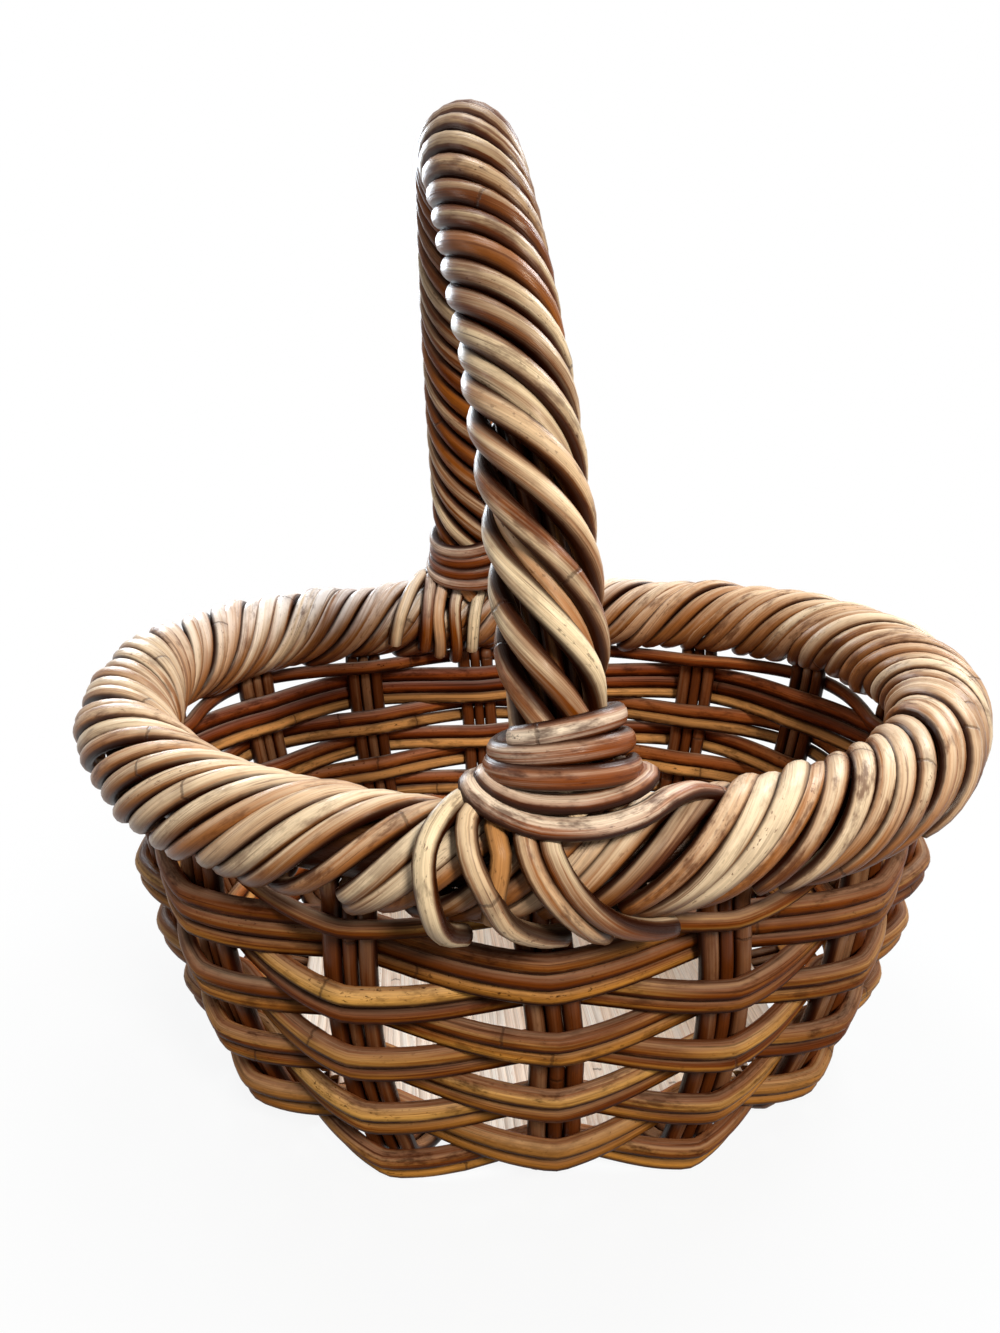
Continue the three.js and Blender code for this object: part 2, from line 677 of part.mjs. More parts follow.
// Collars: one long cane wound round the foot of each leg, closest at the top, where it pinches the strands
for (const [name, atStart] of [['collar_near', true], ['collar_far', false]]) {
  const stops = [];
  const loop = 12;
  const steps = Math.round(COLLAR_TURNS * loop);
  for (let i = 0; i <= steps; i += 1) {
    const turn = COLLAR_TURNS * i / steps;
    const turned = COLLAR_START_ANGLE * DEGREE + turn * 2 * Math.PI;
    const tilt = COLLAR_TILT * Math.cos(turned) * turn / COLLAR_TURNS;
    const length = COLLAR_START + turn * COLLAR_PITCH + tilt;
    const onArch = atStart ? length : ARCH_LENGTH - length;
    const angle = atStart ? turned : -turned;
    const reach = twistRadius(onArch) + HANDLE_CANE / 2 + GAP + COLLAR_CANE / 2 * Math.cos(36 * DEGREE);
    stops.push({
      point: archPoint(onArch, angle, reach / Math.cos(Math.PI / loop)),
      face: archRadial(onArch, angle),
      width: COLLAR_CANE,
      thickness: COLLAR_CANE,
    });
  }
  sweep(name, stops, CANE_OUTLINE, palette.collar);
  reportWinding(name, stops, loop);
}

// The part is set with the middle of its box over the origin
const box = new THREE.Box3().setFromObject(basket);
const middle = box.getCenter(new THREE.Vector3());
for (const mesh of basket.children) {
  mesh.geometry.translate(-middle.x, -middle.y, -box.min.z);
}

export default basket;
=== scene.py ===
import bisect
import math
import random
from collections import namedtuple

import bmesh
import bpy
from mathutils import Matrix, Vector
from mathutils.geometry import interpolate_bezier


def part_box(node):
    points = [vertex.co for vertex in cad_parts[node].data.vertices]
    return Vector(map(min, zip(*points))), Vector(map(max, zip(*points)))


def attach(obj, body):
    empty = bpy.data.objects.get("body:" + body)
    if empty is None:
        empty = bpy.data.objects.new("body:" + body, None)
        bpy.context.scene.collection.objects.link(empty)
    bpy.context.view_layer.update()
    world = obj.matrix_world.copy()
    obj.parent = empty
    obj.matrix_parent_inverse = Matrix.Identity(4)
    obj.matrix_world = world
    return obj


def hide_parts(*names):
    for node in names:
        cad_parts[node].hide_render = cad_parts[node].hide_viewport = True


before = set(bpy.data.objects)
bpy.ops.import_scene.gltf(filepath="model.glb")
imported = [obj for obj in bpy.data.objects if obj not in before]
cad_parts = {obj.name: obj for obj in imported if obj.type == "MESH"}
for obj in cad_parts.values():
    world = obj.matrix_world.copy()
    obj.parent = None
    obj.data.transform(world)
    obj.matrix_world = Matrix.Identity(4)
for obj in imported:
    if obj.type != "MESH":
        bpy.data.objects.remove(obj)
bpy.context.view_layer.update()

# Base sticks
# Five stout canes split in half, flat side down, that run along the basket under its floor.
# They carry the floor canes and are what the basket stands on, so their undersides are rubbed pale.
Stop = namedtuple("Stop", "point face width thickness")
CANE_SIDES = 12
JOINT_SPACING = 0.31
JOINT_REACH = 0.0034
JOINT_SWELL = 0.05
VINE_LENGTH = 9.0
END_BEVEL = 0.0007
END_SHARE = 0.8
START_REACH = 0.27
START_FADE = 4
END_RINGS = 40


def begin_piece():
    """A new mesh with the marks that the cane finish reads."""
    piece = bmesh.new()
    piece.verts.layers.float_vector.new("straight")
    piece.verts.layers.float_vector.new("section")
    piece.verts.layers.float_vector.new("weather")
    piece.verts.layers.float.new("tone")
    return piece


def trim_ends(stops):
    """The stops with a small bevel before each cut end, as (stop, cut) pairs."""
    first = (stops[1].point - stops[0].point).normalized()
    last = (stops[-2].point - stops[-1].point).normalized()
    pairs = [(stop, 0) for stop in stops]
    pairs[0] = (stops[0]._replace(point=stops[0].point + first * END_BEVEL), 0)
    pairs[-1] = (stops[-1]._replace(point=stops[-1].point + last * END_BEVEL), 0)
    for place, stop in ((0, stops[0]), (len(pairs) + 1, stops[-1])):
        narrow = stop._replace(width=stop.width * END_SHARE, thickness=stop.thickness * END_SHARE)
        pairs.insert(place, (narrow, 1))
    return pairs


def grow_cane(piece, stops, tone, luck, sides=CANE_SIDES, blush=None, start_tone=None, end_tone=None):
    """Grows one cane ring by ring through its stops and adds it to a piece.

    Its start and its end may have tones of their own, which fade into the tone of its middle.
    """
    if start_tone is None:
        start_tone = tone
    if end_tone is None:
        end_tone = tone
    if blush is None:
        blush = luck.random()
    cane = begin_piece()
    straight = cane.verts.layers.float_vector["straight"]
    section = cane.verts.layers.float_vector["section"]
    weather = cane.verts.layers.float_vector["weather"]
    shade = cane.verts.layers.float["tone"]
    vine_start = luck.uniform(0, VINE_LENGTH)
    travelled = vine_start
    ring = bmesh.ops.create_circle(cane, cap_ends=True, segments=sides, radius=1)["verts"]
    edges = list({edge for vert in ring for edge in vert.link_edges})
    for vert in ring:
        vert[section] = vert.co
    pairs = trim_ends(stops)
    for number, (stop, cut) in enumerate(pairs):
        before = pairs[max(0, number - 1)][0].point
        after = pairs[min(len(pairs) - 1, number + 1)][0].point
        along = (after - before).normalized()
        across = along.cross(stop.face).normalized()
        face = across.cross(along)
        if number:
            travelled += (stop.point - before).length
            grown = bmesh.ops.extrude_edge_only(cane, edges=edges)["geom"]
            ring = [part for part in grown if isinstance(part, bmesh.types.BMVert)]
            edges = [part for part in grown if isinstance(part, bmesh.types.BMEdge) and part.is_boundary]
        joint = (travelled + JOINT_SPACING / 2) % JOINT_SPACING - JOINT_SPACING / 2
        swell = 1 + JOINT_SWELL * math.exp(-(joint / JOINT_REACH) ** 2)
        half_width = stop.width * swell / 2
        half_thickness = stop.thickness * swell / 2
        inward = Vector((-stop.point.x, -stop.point.y, 0)).normalized()
        near_start = max(0.0, 1 - ((travelled - vine_start) / START_REACH) ** START_FADE)
        near_end = max(0.0, 1 - (len(pairs) - number) / END_RINGS)
        tone_here = tone + (start_tone - tone) * near_start + (end_tone - tone) * near_end
        for vert in ring:
            side, front, _ = vert[section]
            outward = across * side + face * front
            vert.co = stop.point + across * side * half_width + face * front * half_thickness
            vert[section] = (side, front, cut)
            vert[shade] = tone_here
            vert[weather] = (outward.z, outward.dot(inward), blush)
            vert[straight] = (side * half_width, front * half_thickness, travelled)
    bmesh.ops.contextual_create(cane, geom=edges)
    grown_mesh = bpy.data.meshes.new("cane")
    cane.to_mesh(grown_mesh)
    cane.free()
    piece.from_mesh(grown_mesh)
    bpy.data.meshes.remove(grown_mesh)


def set_in_basket(name, piece, material):
    """Turns a piece's faces outwards and puts it in the scene with its finish."""
    bmesh.ops.recalc_face_normals(piece, faces=piece.faces)
    for face in piece.faces:
        face.smooth = len(face.verts) == 4
    mesh = bpy.data.meshes.new(name)
    piece.to_mesh(mesh)
    piece.free()
    mesh.materials.append(material)
    made = bpy.data.objects.new(name, mesh)
    bpy.context.scene.collection.objects.link(made)
    return made


def paint(red, green, blue):
    """A screen colour, 0 to 255, as the shader's own linear colour."""
    shares = [value / 255 for value in (red, green, blue)]
    linear = [s / 12.92 if s <= 0.04045 else ((s + 0.055) / 1.055) ** 2.4 for s in shares]
    return (*linear, 1.0)


def put(tree, kind, sockets, **settings):
    """Adds a node, sets its settings, and links or fills its sockets."""
    node = tree.nodes.new(kind)
    for name, value in settings.items():
        setattr(node, name, value)
    for name, value in sockets.items():
        if isinstance(value, bpy.types.NodeSocket):
            tree.links.new(value, node.inputs[name])
        else:
            node.inputs[name].default_value = value
    return node


def reckon(tree, operation, *values):
    """A sum worked out by a node."""
    sockets = dict(enumerate(values))
    return put(tree, "ShaderNodeMath", sockets, operation=operation).outputs[0]


def fade(tree, value, start, end):
    """A soft step from 0 at start to 1 at end."""
    sockets = {"Value": value, "From Min": start, "From Max": end}
    return put(tree, "ShaderNodeMapRange", sockets, interpolation_type="SMOOTHSTEP").outputs[0]


def stretched_noise(tree, place, across, along, detail, roughness):
    """Noise drawn out along the cane."""
    sockets = {0: place, 1: (across, across, along)}
    drawn = put(tree, "ShaderNodeVectorMath", sockets, operation="MULTIPLY").outputs[0]
    sockets = {"Vector": drawn, "Scale": 1.0, "Detail": detail, "Roughness": roughness}
    return put(tree, "ShaderNodeTexNoise", sockets).outputs["Fac"]


def tint(tree, factor, below, above, mode="MIX"):
    """One colour laid over another."""
    sockets = {0: factor, 6: below, 7: above}
    return put(tree, "ShaderNodeMix", sockets, data_type="RGBA", blend_type=mode).outputs[2]


# Noise in the skin: waves to the metre across and along the cane, detail and roughness
DRIFT = (45, 9, 2, 0.5)
STREAK = (430, 7, 4, 0.65)
FIBRE = (2300, 30, 2, 0.6)
BLOTCH = (210, 75, 4, 0.66)
STAIN_LINE = (800, 12, 4, 0.7)
SPECK = (850, 380, 3, 0.6)
PITH_GRAIN = (1500, 1500, 2, 0.6)
# Colours that all the canes share, and the heights between which the stakes and the top of the handle darken
BLEACHED_AND_LIT = (222, 202, 172)
SHEEN_SILVER = (232, 224, 218)
HIDDEN_SHADE = (0.34, 0.2, 0.13, 1)
HIDDEN_HEIGHTS = (0.141, 0.156)
TOP_DARKENING = (0.5, 0.46, 0.42, 1)
TOP_DARKENING_HEIGHTS = (0.27, 0.38)
JOINT_RING = (52, 30, 17)
GROOVE_DIRT_AND_SHADE = (34, 8, 2)
PITH_DARK = (96, 66, 42)
PITH_PALE = (196, 160, 116)


def make_cane_skin():
    """The skin of a cane, drawn along the straight cane that it was before it was bent."""
    tree = bpy.data.node_groups.new("cane_skin", "ShaderNodeTree")
    for name in ("Dark", "Middle", "Pale", "Blush", "StainAndShade", "InnerShading"):
        tree.interface.new_socket(name, in_out="INPUT", socket_type="NodeSocketColor")
    for name in ("Mottling", "Groove", "Edge", "Open", "BleachAndTopLight", "Inside", "Below", "DarkerTop", "UnderShade", "Gloss"):
        tree.interface.new_socket(name, in_out="INPUT", socket_type="NodeSocketFloat")
    tree.interface.new_socket("Color", in_out="OUTPUT", socket_type="NodeSocketColor")
    for name in ("Roughness", "Height"):
        tree.interface.new_socket(name, in_out="OUTPUT", socket_type="NodeSocketFloat")
    given = tree.nodes.new("NodeGroupInput").outputs
    place = put(tree, "ShaderNodeAttribute", {}, attribute_name="straight").outputs["Vector"]
    section = put(tree, "ShaderNodeAttribute", {}, attribute_name="section").outputs["Vector"]
    weather = put(tree, "ShaderNodeAttribute", {}, attribute_name="weather").outputs["Vector"]
    tone = put(tree, "ShaderNodeAttribute", {}, attribute_name="tone").outputs["Fac"]
    side, front, cut = put(tree, "ShaderNodeSeparateXYZ", {0: section}).outputs
    upward, inward, own = put(tree, "ShaderNodeSeparateXYZ", {0: weather}).outputs
    travelled = put(tree, "ShaderNodeSeparateXYZ", {0: place}).outputs[2]

    # Broad drifts of colour, long streaks and fine fibres; a crest painted paler and flanks painted darker,
    # partly as wear and partly as painted highlight and shade; and upward faces painted lighter, partly as
    # sun bleaching and partly as painted top light
    drift = stretched_noise(tree, place, *DRIFT)
    streak = stretched_noise(tree, place, *STREAK)
    fibre = stretched_noise(tree, place, *FIBRE)
    blotch = stretched_noise(tree, place, *BLOTCH)
    level = reckon(tree, "MULTIPLY_ADD", reckon(tree, "SUBTRACT", drift, 0.5), 1.1, tone)
    level = reckon(tree, "MULTIPLY_ADD", reckon(tree, "SUBTRACT", streak, 0.5), 1.1, level)
    crest = reckon(tree, "ABSOLUTE", front)
    level = reckon(tree, "MULTIPLY_ADD", crest, 0.4, reckon(tree, "SUBTRACT", level, 0.3))
    lifted = reckon(tree, "MULTIPLY", reckon(tree, "SUBTRACT", upward, 0.15), given["BleachAndTopLight"])
    level = reckon(tree, "MULTIPLY_ADD", lifted, 0.5, level)
    low = tint(tree, fade(tree, level, 0.0, 0.5), given["Dark"], given["Middle"])
    skin = tint(tree, fade(tree, level, 0.42, 0.95), low, given["Pale"])
    skin = tint(tree, reckon(tree, "MULTIPLY", fade(tree, own, 0.4, 1.0), 0.65), skin, given["Blush"])
    fine = reckon(tree, "MULTIPLY_ADD", fibre, 0.9, 0.53)
    fine = put(tree, "ShaderNodeCombineXYZ", {0: fine, 1: fine, 2: fine}).outputs[0]
    skin = tint(tree, 1.0, skin, fine, "MULTIPLY")

    # Weather and painted light: tops paler, partly bleached by the sun and partly as painted top light, and
    # most at the back left, with a silvery painted sheen that stands for a reflection there. Inner sides take
    # a colour of their own, which is painted shade and light of the basket's inside.
    # Stakes are dark below the border, as painted shade, and the handle is darker towards its top.
    in_basket = put(tree, "ShaderNodeTexCoord", {}).outputs["Object"]
    to_right, to_back, height_up = put(tree, "ShaderNodeSeparateXYZ", {0: in_basket}).outputs
    # Towards the back left the tops turn silvery, as a painted sheen for a reflection on the varnish.
    sheen_side = fade(tree, reckon(tree, "MULTIPLY_ADD", to_right, -0.35, to_back), 0.06, 0.15)
    bleached_and_lit = reckon(tree, "MULTIPLY", fade(tree, upward, 0.0, 1.0), given["BleachAndTopLight"])
    bleached_and_lit = reckon(tree, "MULTIPLY", bleached_and_lit, reckon(tree, "ADD", 1.0, sheen_side))
    bleached_and_lit = reckon(tree, "MULTIPLY", bleached_and_lit, fade(tree, streak, 0.25, 0.65))
    skin = tint(tree, bleached_and_lit, skin, tint(tree, sheen_side, paint(*BLEACHED_AND_LIT), paint(*SHEEN_SILVER)))
    # Inner sides are tinted towards a colour of their own, as painted shade and light of the basket's inside.
    shaded = reckon(tree, "MULTIPLY", fade(tree, inward, -0.1, 0.7), given["Inside"])
    skin = tint(tree, shaded, skin, tint(tree, fade(tree, level, 0.0, 1.0), given["Dark"], given["InnerShading"]))
    # Stakes darken below the border, as painted shade.
    hidden = reckon(tree, "SUBTRACT", 1.0, fade(tree, height_up, *HIDDEN_HEIGHTS))
    hidden = reckon(tree, "MULTIPLY", hidden, given["Below"])
    skin = tint(tree, hidden, skin, HIDDEN_SHADE, "MULTIPLY")
    # The handle darkens towards its top.
    darkened_top = reckon(tree, "MULTIPLY", fade(tree, height_up, *TOP_DARKENING_HEIGHTS), given["DarkerTop"])
    skin = tint(tree, darkened_top, skin, TOP_DARKENING, "MULTIPLY")

    # Varnish, dirt and painted shade: blotches, undersides darkened as painted shade, rings at the joints,
    # grooves where canes touch darkened partly as dirt and partly as painted shade, and cut ends
    patchy = fade(tree, reckon(tree, "FRACT", reckon(tree, "MULTIPLY", own, 7.0)), 0.1, 0.9)
    stains_and_shade = reckon(tree, "MULTIPLY", fade(tree, blotch, 0.47, 0.68), given["Mottling"])
    stains_and_shade = reckon(tree, "MULTIPLY", stains_and_shade, reckon(tree, "MULTIPLY_ADD", patchy, 0.75, 0.25))
    line = fade(tree, stretched_noise(tree, place, *STAIN_LINE), 0.54, 0.7)
    stains_and_shade = reckon(tree, "MAXIMUM", stains_and_shade, reckon(tree, "MULTIPLY", line, 0.68))
    speck = fade(tree, stretched_noise(tree, place, *SPECK), 0.58, 0.7)
    stains_and_shade = reckon(tree, "MAXIMUM", stains_and_shade, reckon(tree, "MULTIPLY", speck, fade(tree, drift, 0.4, 0.75)))
    # Undersides are darkened towards the stain colour, as painted shade.
    under = reckon(tree, "MULTIPLY", fade(tree, upward, 0.15, -0.5), given["UnderShade"])
    stains_and_shade = reckon(tree, "MAXIMUM", stains_and_shade, reckon(tree, "MULTIPLY", under, fade(tree, blotch, 0.2, 0.55)))
    skin = tint(tree, stains_and_shade, skin, given["StainAndShade"])
    ragged = reckon(tree, "MULTIPLY_ADD", reckon(tree, "SUBTRACT", blotch, 0.5), 0.004, travelled)
    joint = reckon(tree, "PINGPONG", ragged, JOINT_SPACING / 2)
    ring = reckon(tree, "SUBTRACT", 1.0, fade(tree, joint, 0.0002, 0.0009))
    band = reckon(tree, "SUBTRACT", 1.0, fade(tree, joint, 0.001, 0.007))
    skin = tint(tree, reckon(tree, "MULTIPLY", band, 0.25), skin, given["StainAndShade"])
    skin = tint(tree, reckon(tree, "MULTIPLY", ring, 0.55), skin, paint(*JOINT_RING))
    # Where canes touch they are darkened, partly as dirt and partly as painted shade.
    touching = fade(tree, reckon(tree, "ABSOLUTE", side), given["Edge"], 0.97)
    lit_edge = reckon(tree, "MULTIPLY", fade(tree, upward, 0.1, 0.7), given["Open"])
    touching = reckon(tree, "MULTIPLY", touching, reckon(tree, "SUBTRACT", 1.0, lit_edge))
    skin = tint(tree, reckon(tree, "MULTIPLY", touching, given["Groove"]), skin, paint(*GROOVE_DIRT_AND_SHADE))
    grain = stretched_noise(tree, place, *PITH_GRAIN)
    pith = tint(tree, grain, paint(*PITH_DARK), paint(*PITH_PALE))
    skin = tint(tree, fade(tree, cut, 0.4, 0.9), skin, pith)

    # Satin varnish, duller on the blotches and rough on the cut ends
    rough = reckon(tree, "SUBTRACT", reckon(tree, "MULTIPLY_ADD", streak, 0.24, 0.28), given["Gloss"])
    rough = reckon(tree, "MULTIPLY_ADD", stains_and_shade, 0.16, rough)
    rough = reckon(tree, "MULTIPLY_ADD", cut, 0.3, rough)
    height = reckon(tree, "MULTIPLY_ADD", fibre, 0.35, reckon(tree, "MULTIPLY", streak, 0.65))
    height = reckon(tree, "MULTIPLY_ADD", ring, -0.6, height)
    put(tree, "NodeGroupOutput", {"Color": skin, "Roughness": rough, "Height": height})
    return tree


cane_skin = make_cane_skin()
BUMP_REACH = 0.0006
BUMP_STRENGTH = 0.7
GLOSS_TINT = (1.0, 0.88, 0.74, 1)
GLOSS_AT_LEAST = 0.06
GLOSS_BY_SHINE = 0.4


def cane_finish(
        name, colours, mottling, groove=0.7, bleach_and_top_light=0.0, inside=0.0, below=0.0, shine=0.12,
        lit_edges=0.0, darker_top=0.0, under_shade=0.0, edge=0.56):
    """A varnished cane finish in its colours: dark, middle, pale, blush, stain and inner side.
    The pale colour also takes painted highlights, the stain colour also painted shade on undersides,
    and the inner side's colour is painted shade and light.

    Each other value is how strong one effect is. The edge is where on a cane's side its groove starts.
    """
    material = bpy.data.materials.new(name)
    material.use_nodes = True
    tree = material.node_tree
    shader = tree.nodes["Principled BSDF"]
    skin = tree.nodes.new("ShaderNodeGroup")
    skin.node_tree = cane_skin
    for socket, colour in zip(("Dark", "Middle", "Pale", "Blush", "StainAndShade", "InnerShading"), colours):
        skin.inputs[socket].default_value = paint(*colour)
    strengths = {
        "Mottling": mottling, "Groove": groove, "Edge": edge, "Open": lit_edges, "BleachAndTopLight": bleach_and_top_light,
        "Inside": inside, "Below": below, "DarkerTop": darker_top, "UnderShade": under_shade,
        "Gloss": GLOSS_AT_LEAST + shine * GLOSS_BY_SHINE}
    for socket, strength in strengths.items():
        skin.inputs[socket].default_value = strength
    relief = {"Height": skin.outputs["Height"], "Strength": BUMP_STRENGTH, "Distance": BUMP_REACH}
    bump = put(tree, "ShaderNodeBump", relief)
    tree.links.new(skin.outputs["Color"], shader.inputs["Base Color"])
    tree.links.new(skin.outputs["Roughness"], shader.inputs["Roughness"])
    tree.links.new(bump.outputs["Normal"], shader.inputs["Normal"])
    shader.inputs["Specular IOR Level"].default_value = shine
    shader.inputs["Specular Tint"].default_value = GLOSS_TINT
    return material


STICKS = 5
STICK_STEPS = 24
STICK_SWAY = 0.0006
STICK_SWAYS = 5
STICK_SHARE = 0.97
STICK_COLOURS = (
    (150, 110, 66), (196, 160, 108), (224, 196, 150), (206, 164, 112), (120, 82, 46), (196, 160, 108))
stick_finish = cane_finish("base_stick_cane", STICK_COLOURS, mottling=0.35)
luck = random.Random(11)
for stick in range(1, STICKS + 1):
    low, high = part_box(f"base_stick_{stick}")
    width = high.y - low.y
    stops = []
    for step in range(STICK_STEPS + 1):
        x = low.x + (high.x - low.x) * step / STICK_STEPS
        sway = STICK_SWAY * math.sin(STICK_SWAYS * step / STICK_STEPS + stick)
        point = Vector((x, (low.y + high.y) / 2 + sway, high.z - width / 2))
        stops.append(Stop(point, Vector((0, 0, 1)), width * STICK_SHARE, width))
    piece = begin_piece()
    grow_cane(piece, stops, luck.random(), luck)
    parts = piece.verts[:] + piece.edges[:] + piece.faces[:]
    split = bmesh.ops.bisect_plane(
        piece, geom=parts, plane_co=(0, 0, low.z), plane_no=(0, 0, -1), clear_outer=True)["geom_cut"]
    bmesh.ops.holes_fill(piece, edges=[part for part in split if isinstance(part, bmesh.types.BMEdge)])
    made = set_in_basket(f"stick_{stick}", piece, stick_finish)
    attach(made, "root")
    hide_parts(f"base_stick_{stick}")

# Base mat
# The floor: fine pale canes laid tight side by side across the sticks and over the feet of the stakes,
# each trimmed to the oval. They are left unstained, so they stay cream coloured, and their colours are
# painted paler still, as painted light where the basket shades them.
OVAL_POWER = 2.17
FLOOR_CANE = 0.0039
FLOOR_STEPS = 14
FLOOR_EDGE = 0.004
FLOOR_TRIM = 0.0025
FLOOR_RISE = 0.0004
FLOOR_WAVE = 0.0004
FLOOR_WAVES = 90
FLOOR_OVERLAP = (1.45, 1.6)
FLOOR_FLATNESS = 0.5
FLOOR_TONES = (0.5, 1)
FLOOR_SIDES = 8
ANY_PHASE = 6.3
FLOOR_COLOURS_WITH_LIGHT = (
    (244, 208, 180), (255, 232, 208), (255, 242, 226), (255, 228, 204), (222, 176, 142), (255, 232, 208))
floor_finish = cane_finish("floor_cane", FLOOR_COLOURS_WITH_LIGHT, mottling=0.12, groove=0.08)
luck = random.Random(23)
low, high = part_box("base_mat")
middle = (low + high) / 2
half_length = (high.x - low.x) / 2
half_width = (high.y - low.y) / 2
count = int((high.x - low.x - FLOOR_EDGE) / FLOOR_CANE)
piece = begin_piece()
for cane in range(count):
    x = (cane - (count - 1) / 2) * FLOOR_CANE
    reach = half_width * (1 - abs(x / half_length) ** OVAL_POWER) ** (1 / OVAL_POWER)
    reach -= luck.uniform(0, FLOOR_TRIM)
    rise = luck.uniform(-FLOOR_RISE, FLOOR_RISE)
    sway = luck.uniform(0, ANY_PHASE)
    thick = FLOOR_CANE * luck.uniform(*FLOOR_OVERLAP)
    stops = []
    for step in range(FLOOR_STEPS + 1):
        y = reach * (2 * step / FLOOR_STEPS - 1)
        wave = FLOOR_WAVE * math.sin(y * FLOOR_WAVES + sway)
        point = Vector((middle.x + x + wave, middle.y + y, high.z - FLOOR_CANE / 2 + rise))
        stops.append(Stop(point, Vector((0, 0, 1)), thick, thick * FLOOR_FLATNESS))
    grow_cane(piece, stops, luck.uniform(*FLOOR_TONES), luck, FLOOR_SIDES)
made = set_in_basket("floor_canes", piece, floor_finish)
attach(made, "root")
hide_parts("base_mat")

# Rim hoop
# One stout cane bent into an oval ring and scarfed to itself. The stakes are rolled over it,
# so it only shows as a dark rod in the gaps of the border; its colours are painted dark, as painted shade.
RIM_HALF_LENGTH = 0.180
RIM_HALF_WIDTH = 0.143
RIM_HEIGHT = 0.164
RIM_END_RISE = 0.0045
UP = Vector((0, 0, 1))
hoop_low, hoop_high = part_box("rim_hoop")
basket_middle = (hoop_low + hoop_high) / 2
basket_middle.z = 0


def oval_point(half_length, half_width, angle):
    """A point on a level oval round the basket's middle."""
    c = math.cos(angle)
    s = math.sin(angle)
    x = half_length * math.copysign(abs(c) ** (2 / OVAL_POWER), c)
    y = half_width * math.copysign(abs(s) ** (2 / OVAL_POWER), s)
    return basket_middle + Vector((x, y, 0))


OVAL_STEPS = 2880
oval_lengths = [0.0]
for step in range(OVAL_STEPS):
    here = oval_point(RIM_HALF_LENGTH, RIM_HALF_WIDTH, step / OVAL_STEPS * math.tau)
    there = oval_point(RIM_HALF_LENGTH, RIM_HALF_WIDTH, (step + 1) / OVAL_STEPS * math.tau)
    oval_lengths.append(oval_lengths[-1] + (there - here).length)
RIM_LENGTH = oval_lengths[-1]


def oval_angle(share):
    """Angle on the oval for a share of the way round the rim, counted from its right end."""
    wanted = (share % 1) * RIM_LENGTH
    place = min(OVAL_STEPS, max(1, bisect.bisect_left(oval_lengths, wanted)))
    before = oval_lengths[place - 1]
    part = (wanted - before) / (oval_lengths[place] - before)
    return (place - 1 + part) / OVAL_STEPS * math.tau


def rim_point(share):
    """Middle of the border, which rises towards both ends."""
    angle = oval_angle(share)
    point = oval_point(RIM_HALF_LENGTH, RIM_HALF_WIDTH, angle)
    point.z = RIM_HEIGHT + RIM_END_RISE * math.cos(2 * angle)
    return point


RIM_NUDGE = 0.002


def rim_frame(share):
    """Middle of the border, its direction along the rim, and level inwards."""
    along = (rim_point(share + RIM_NUDGE) - rim_point(share - RIM_NUDGE)).normalized()
    return rim_point(share), along, UP.cross(along).normalized()


def border_normal(share, turn):
    """Out of the border's middle: turn 0 is inwards, 90 up, 180 outwards."""
    _, _, inward = rim_frame(share)
    angle = math.radians(turn)
    return inward * math.cos(angle) + UP * math.sin(angle)


def border_point(share, turn, radius):
    """A point at a radius from the middle of the border."""
    return rim_point(share) + border_normal(share, turn) * radius


HOOP_THICKNESS = (hoop_high.x - hoop_low.x) - 2 * RIM_HALF_LENGTH
HOOP_CANE = HOOP_THICKNESS * 0.98
HOOP_STEPS = 150
HOOP_SCARF = 0.26
HOOP_TURN = 0.9999
HOOP_TONE = 0.4
STOUT_SIDES = 14
HOOP_SHADED_COLOURS = ((48, 26, 13), (70, 41, 21), (98, 62, 34), (80, 44, 22), (34, 19, 10), (70, 41, 21))
hoop_finish = cane_finish("hoop_cane", HOOP_SHADED_COLOURS, mottling=0.5)
luck = random.Random(31)
piece = begin_piece()
stops = []
for step in range(HOOP_STEPS + 1):
    share = HOOP_SCARF + step / HOOP_STEPS * HOOP_TURN
    stops.append(Stop(rim_point(share), UP, HOOP_CANE, HOOP_CANE))
grow_cane(piece, stops, HOOP_TONE, luck, STOUT_SIDES)
made = set_in_basket("hoop", piece, hoop_finish)
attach(made, "root")
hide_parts("rim_hoop")

# Stake groups
# Fifteen groups of three canes. Each group is bent up from under the floor, stands in the wall,
# and is rolled twice round the hoop beside its neighbours, which makes the thick rope border.
STAKE_GROUPS = 15
STAKE_CANE = 0.0074
STAKE_STEP = 0.0069
BORDER_RADIUS = 0.021
WRAP_RADIUS = BORDER_RADIUS - STAKE_CANE / 2
WALL_TOP = RIM_HEIGHT - BORDER_RADIUS - 0.003
WALL_TOP_HALF_LENGTH = RIM_HALF_LENGTH - 0.003
WALL_TOP_HALF_WIDTH = RIM_HALF_WIDTH - 0.006
BASE_HALF_LENGTH = RIM_HALF_LENGTH - 0.052
BASE_HALF_WIDTH = RIM_HALF_WIDTH - 0.026
WALL_CURVE = 0.5
WALL_BELLY = 0.003
WALL_TILT = 0.0025
STAKE_SHIFTS = (0, 0, 0, 0, -0.003, 0, 0, 0, 0, -0.005, -0.005, 0.007, 0.008, 0.004, 0)
SHIFT_FADE = 0.4
WALL_PARTS = (0.07, 0.14, 0.26, 0.4, 0.55, 0.76, 0.9, 1)
LEVEL_NUDGE = 0.0005
FOOT_LENGTH = 0.028
FOOT_BEND = 0.008
FOOT_LEVEL = 0.0042
FOOT_THICKNESS = 0.0056
MIDDLE_SHARE = 0.84
SLIM_SPREAD = (0.93, 1.07)
FULL_SPREAD = (1.14, 1.4)
ROLL_PER_TURN = 1.5
STILL_START = 255
STILL_ANGLE = 40
ROLL_START = -80
ROLL_END = 590
ROLL_STEP = 11
END_SPREAD = (-16, 10)
SPREAD_TURN = 70
CANES_ABREAST = 6
BORDER_LIE = 0.0022
BORDER_WANDER = 0.0014
WANDER_TURN = 60
BORDER_LIFT = (-0.0008, 0.0014)
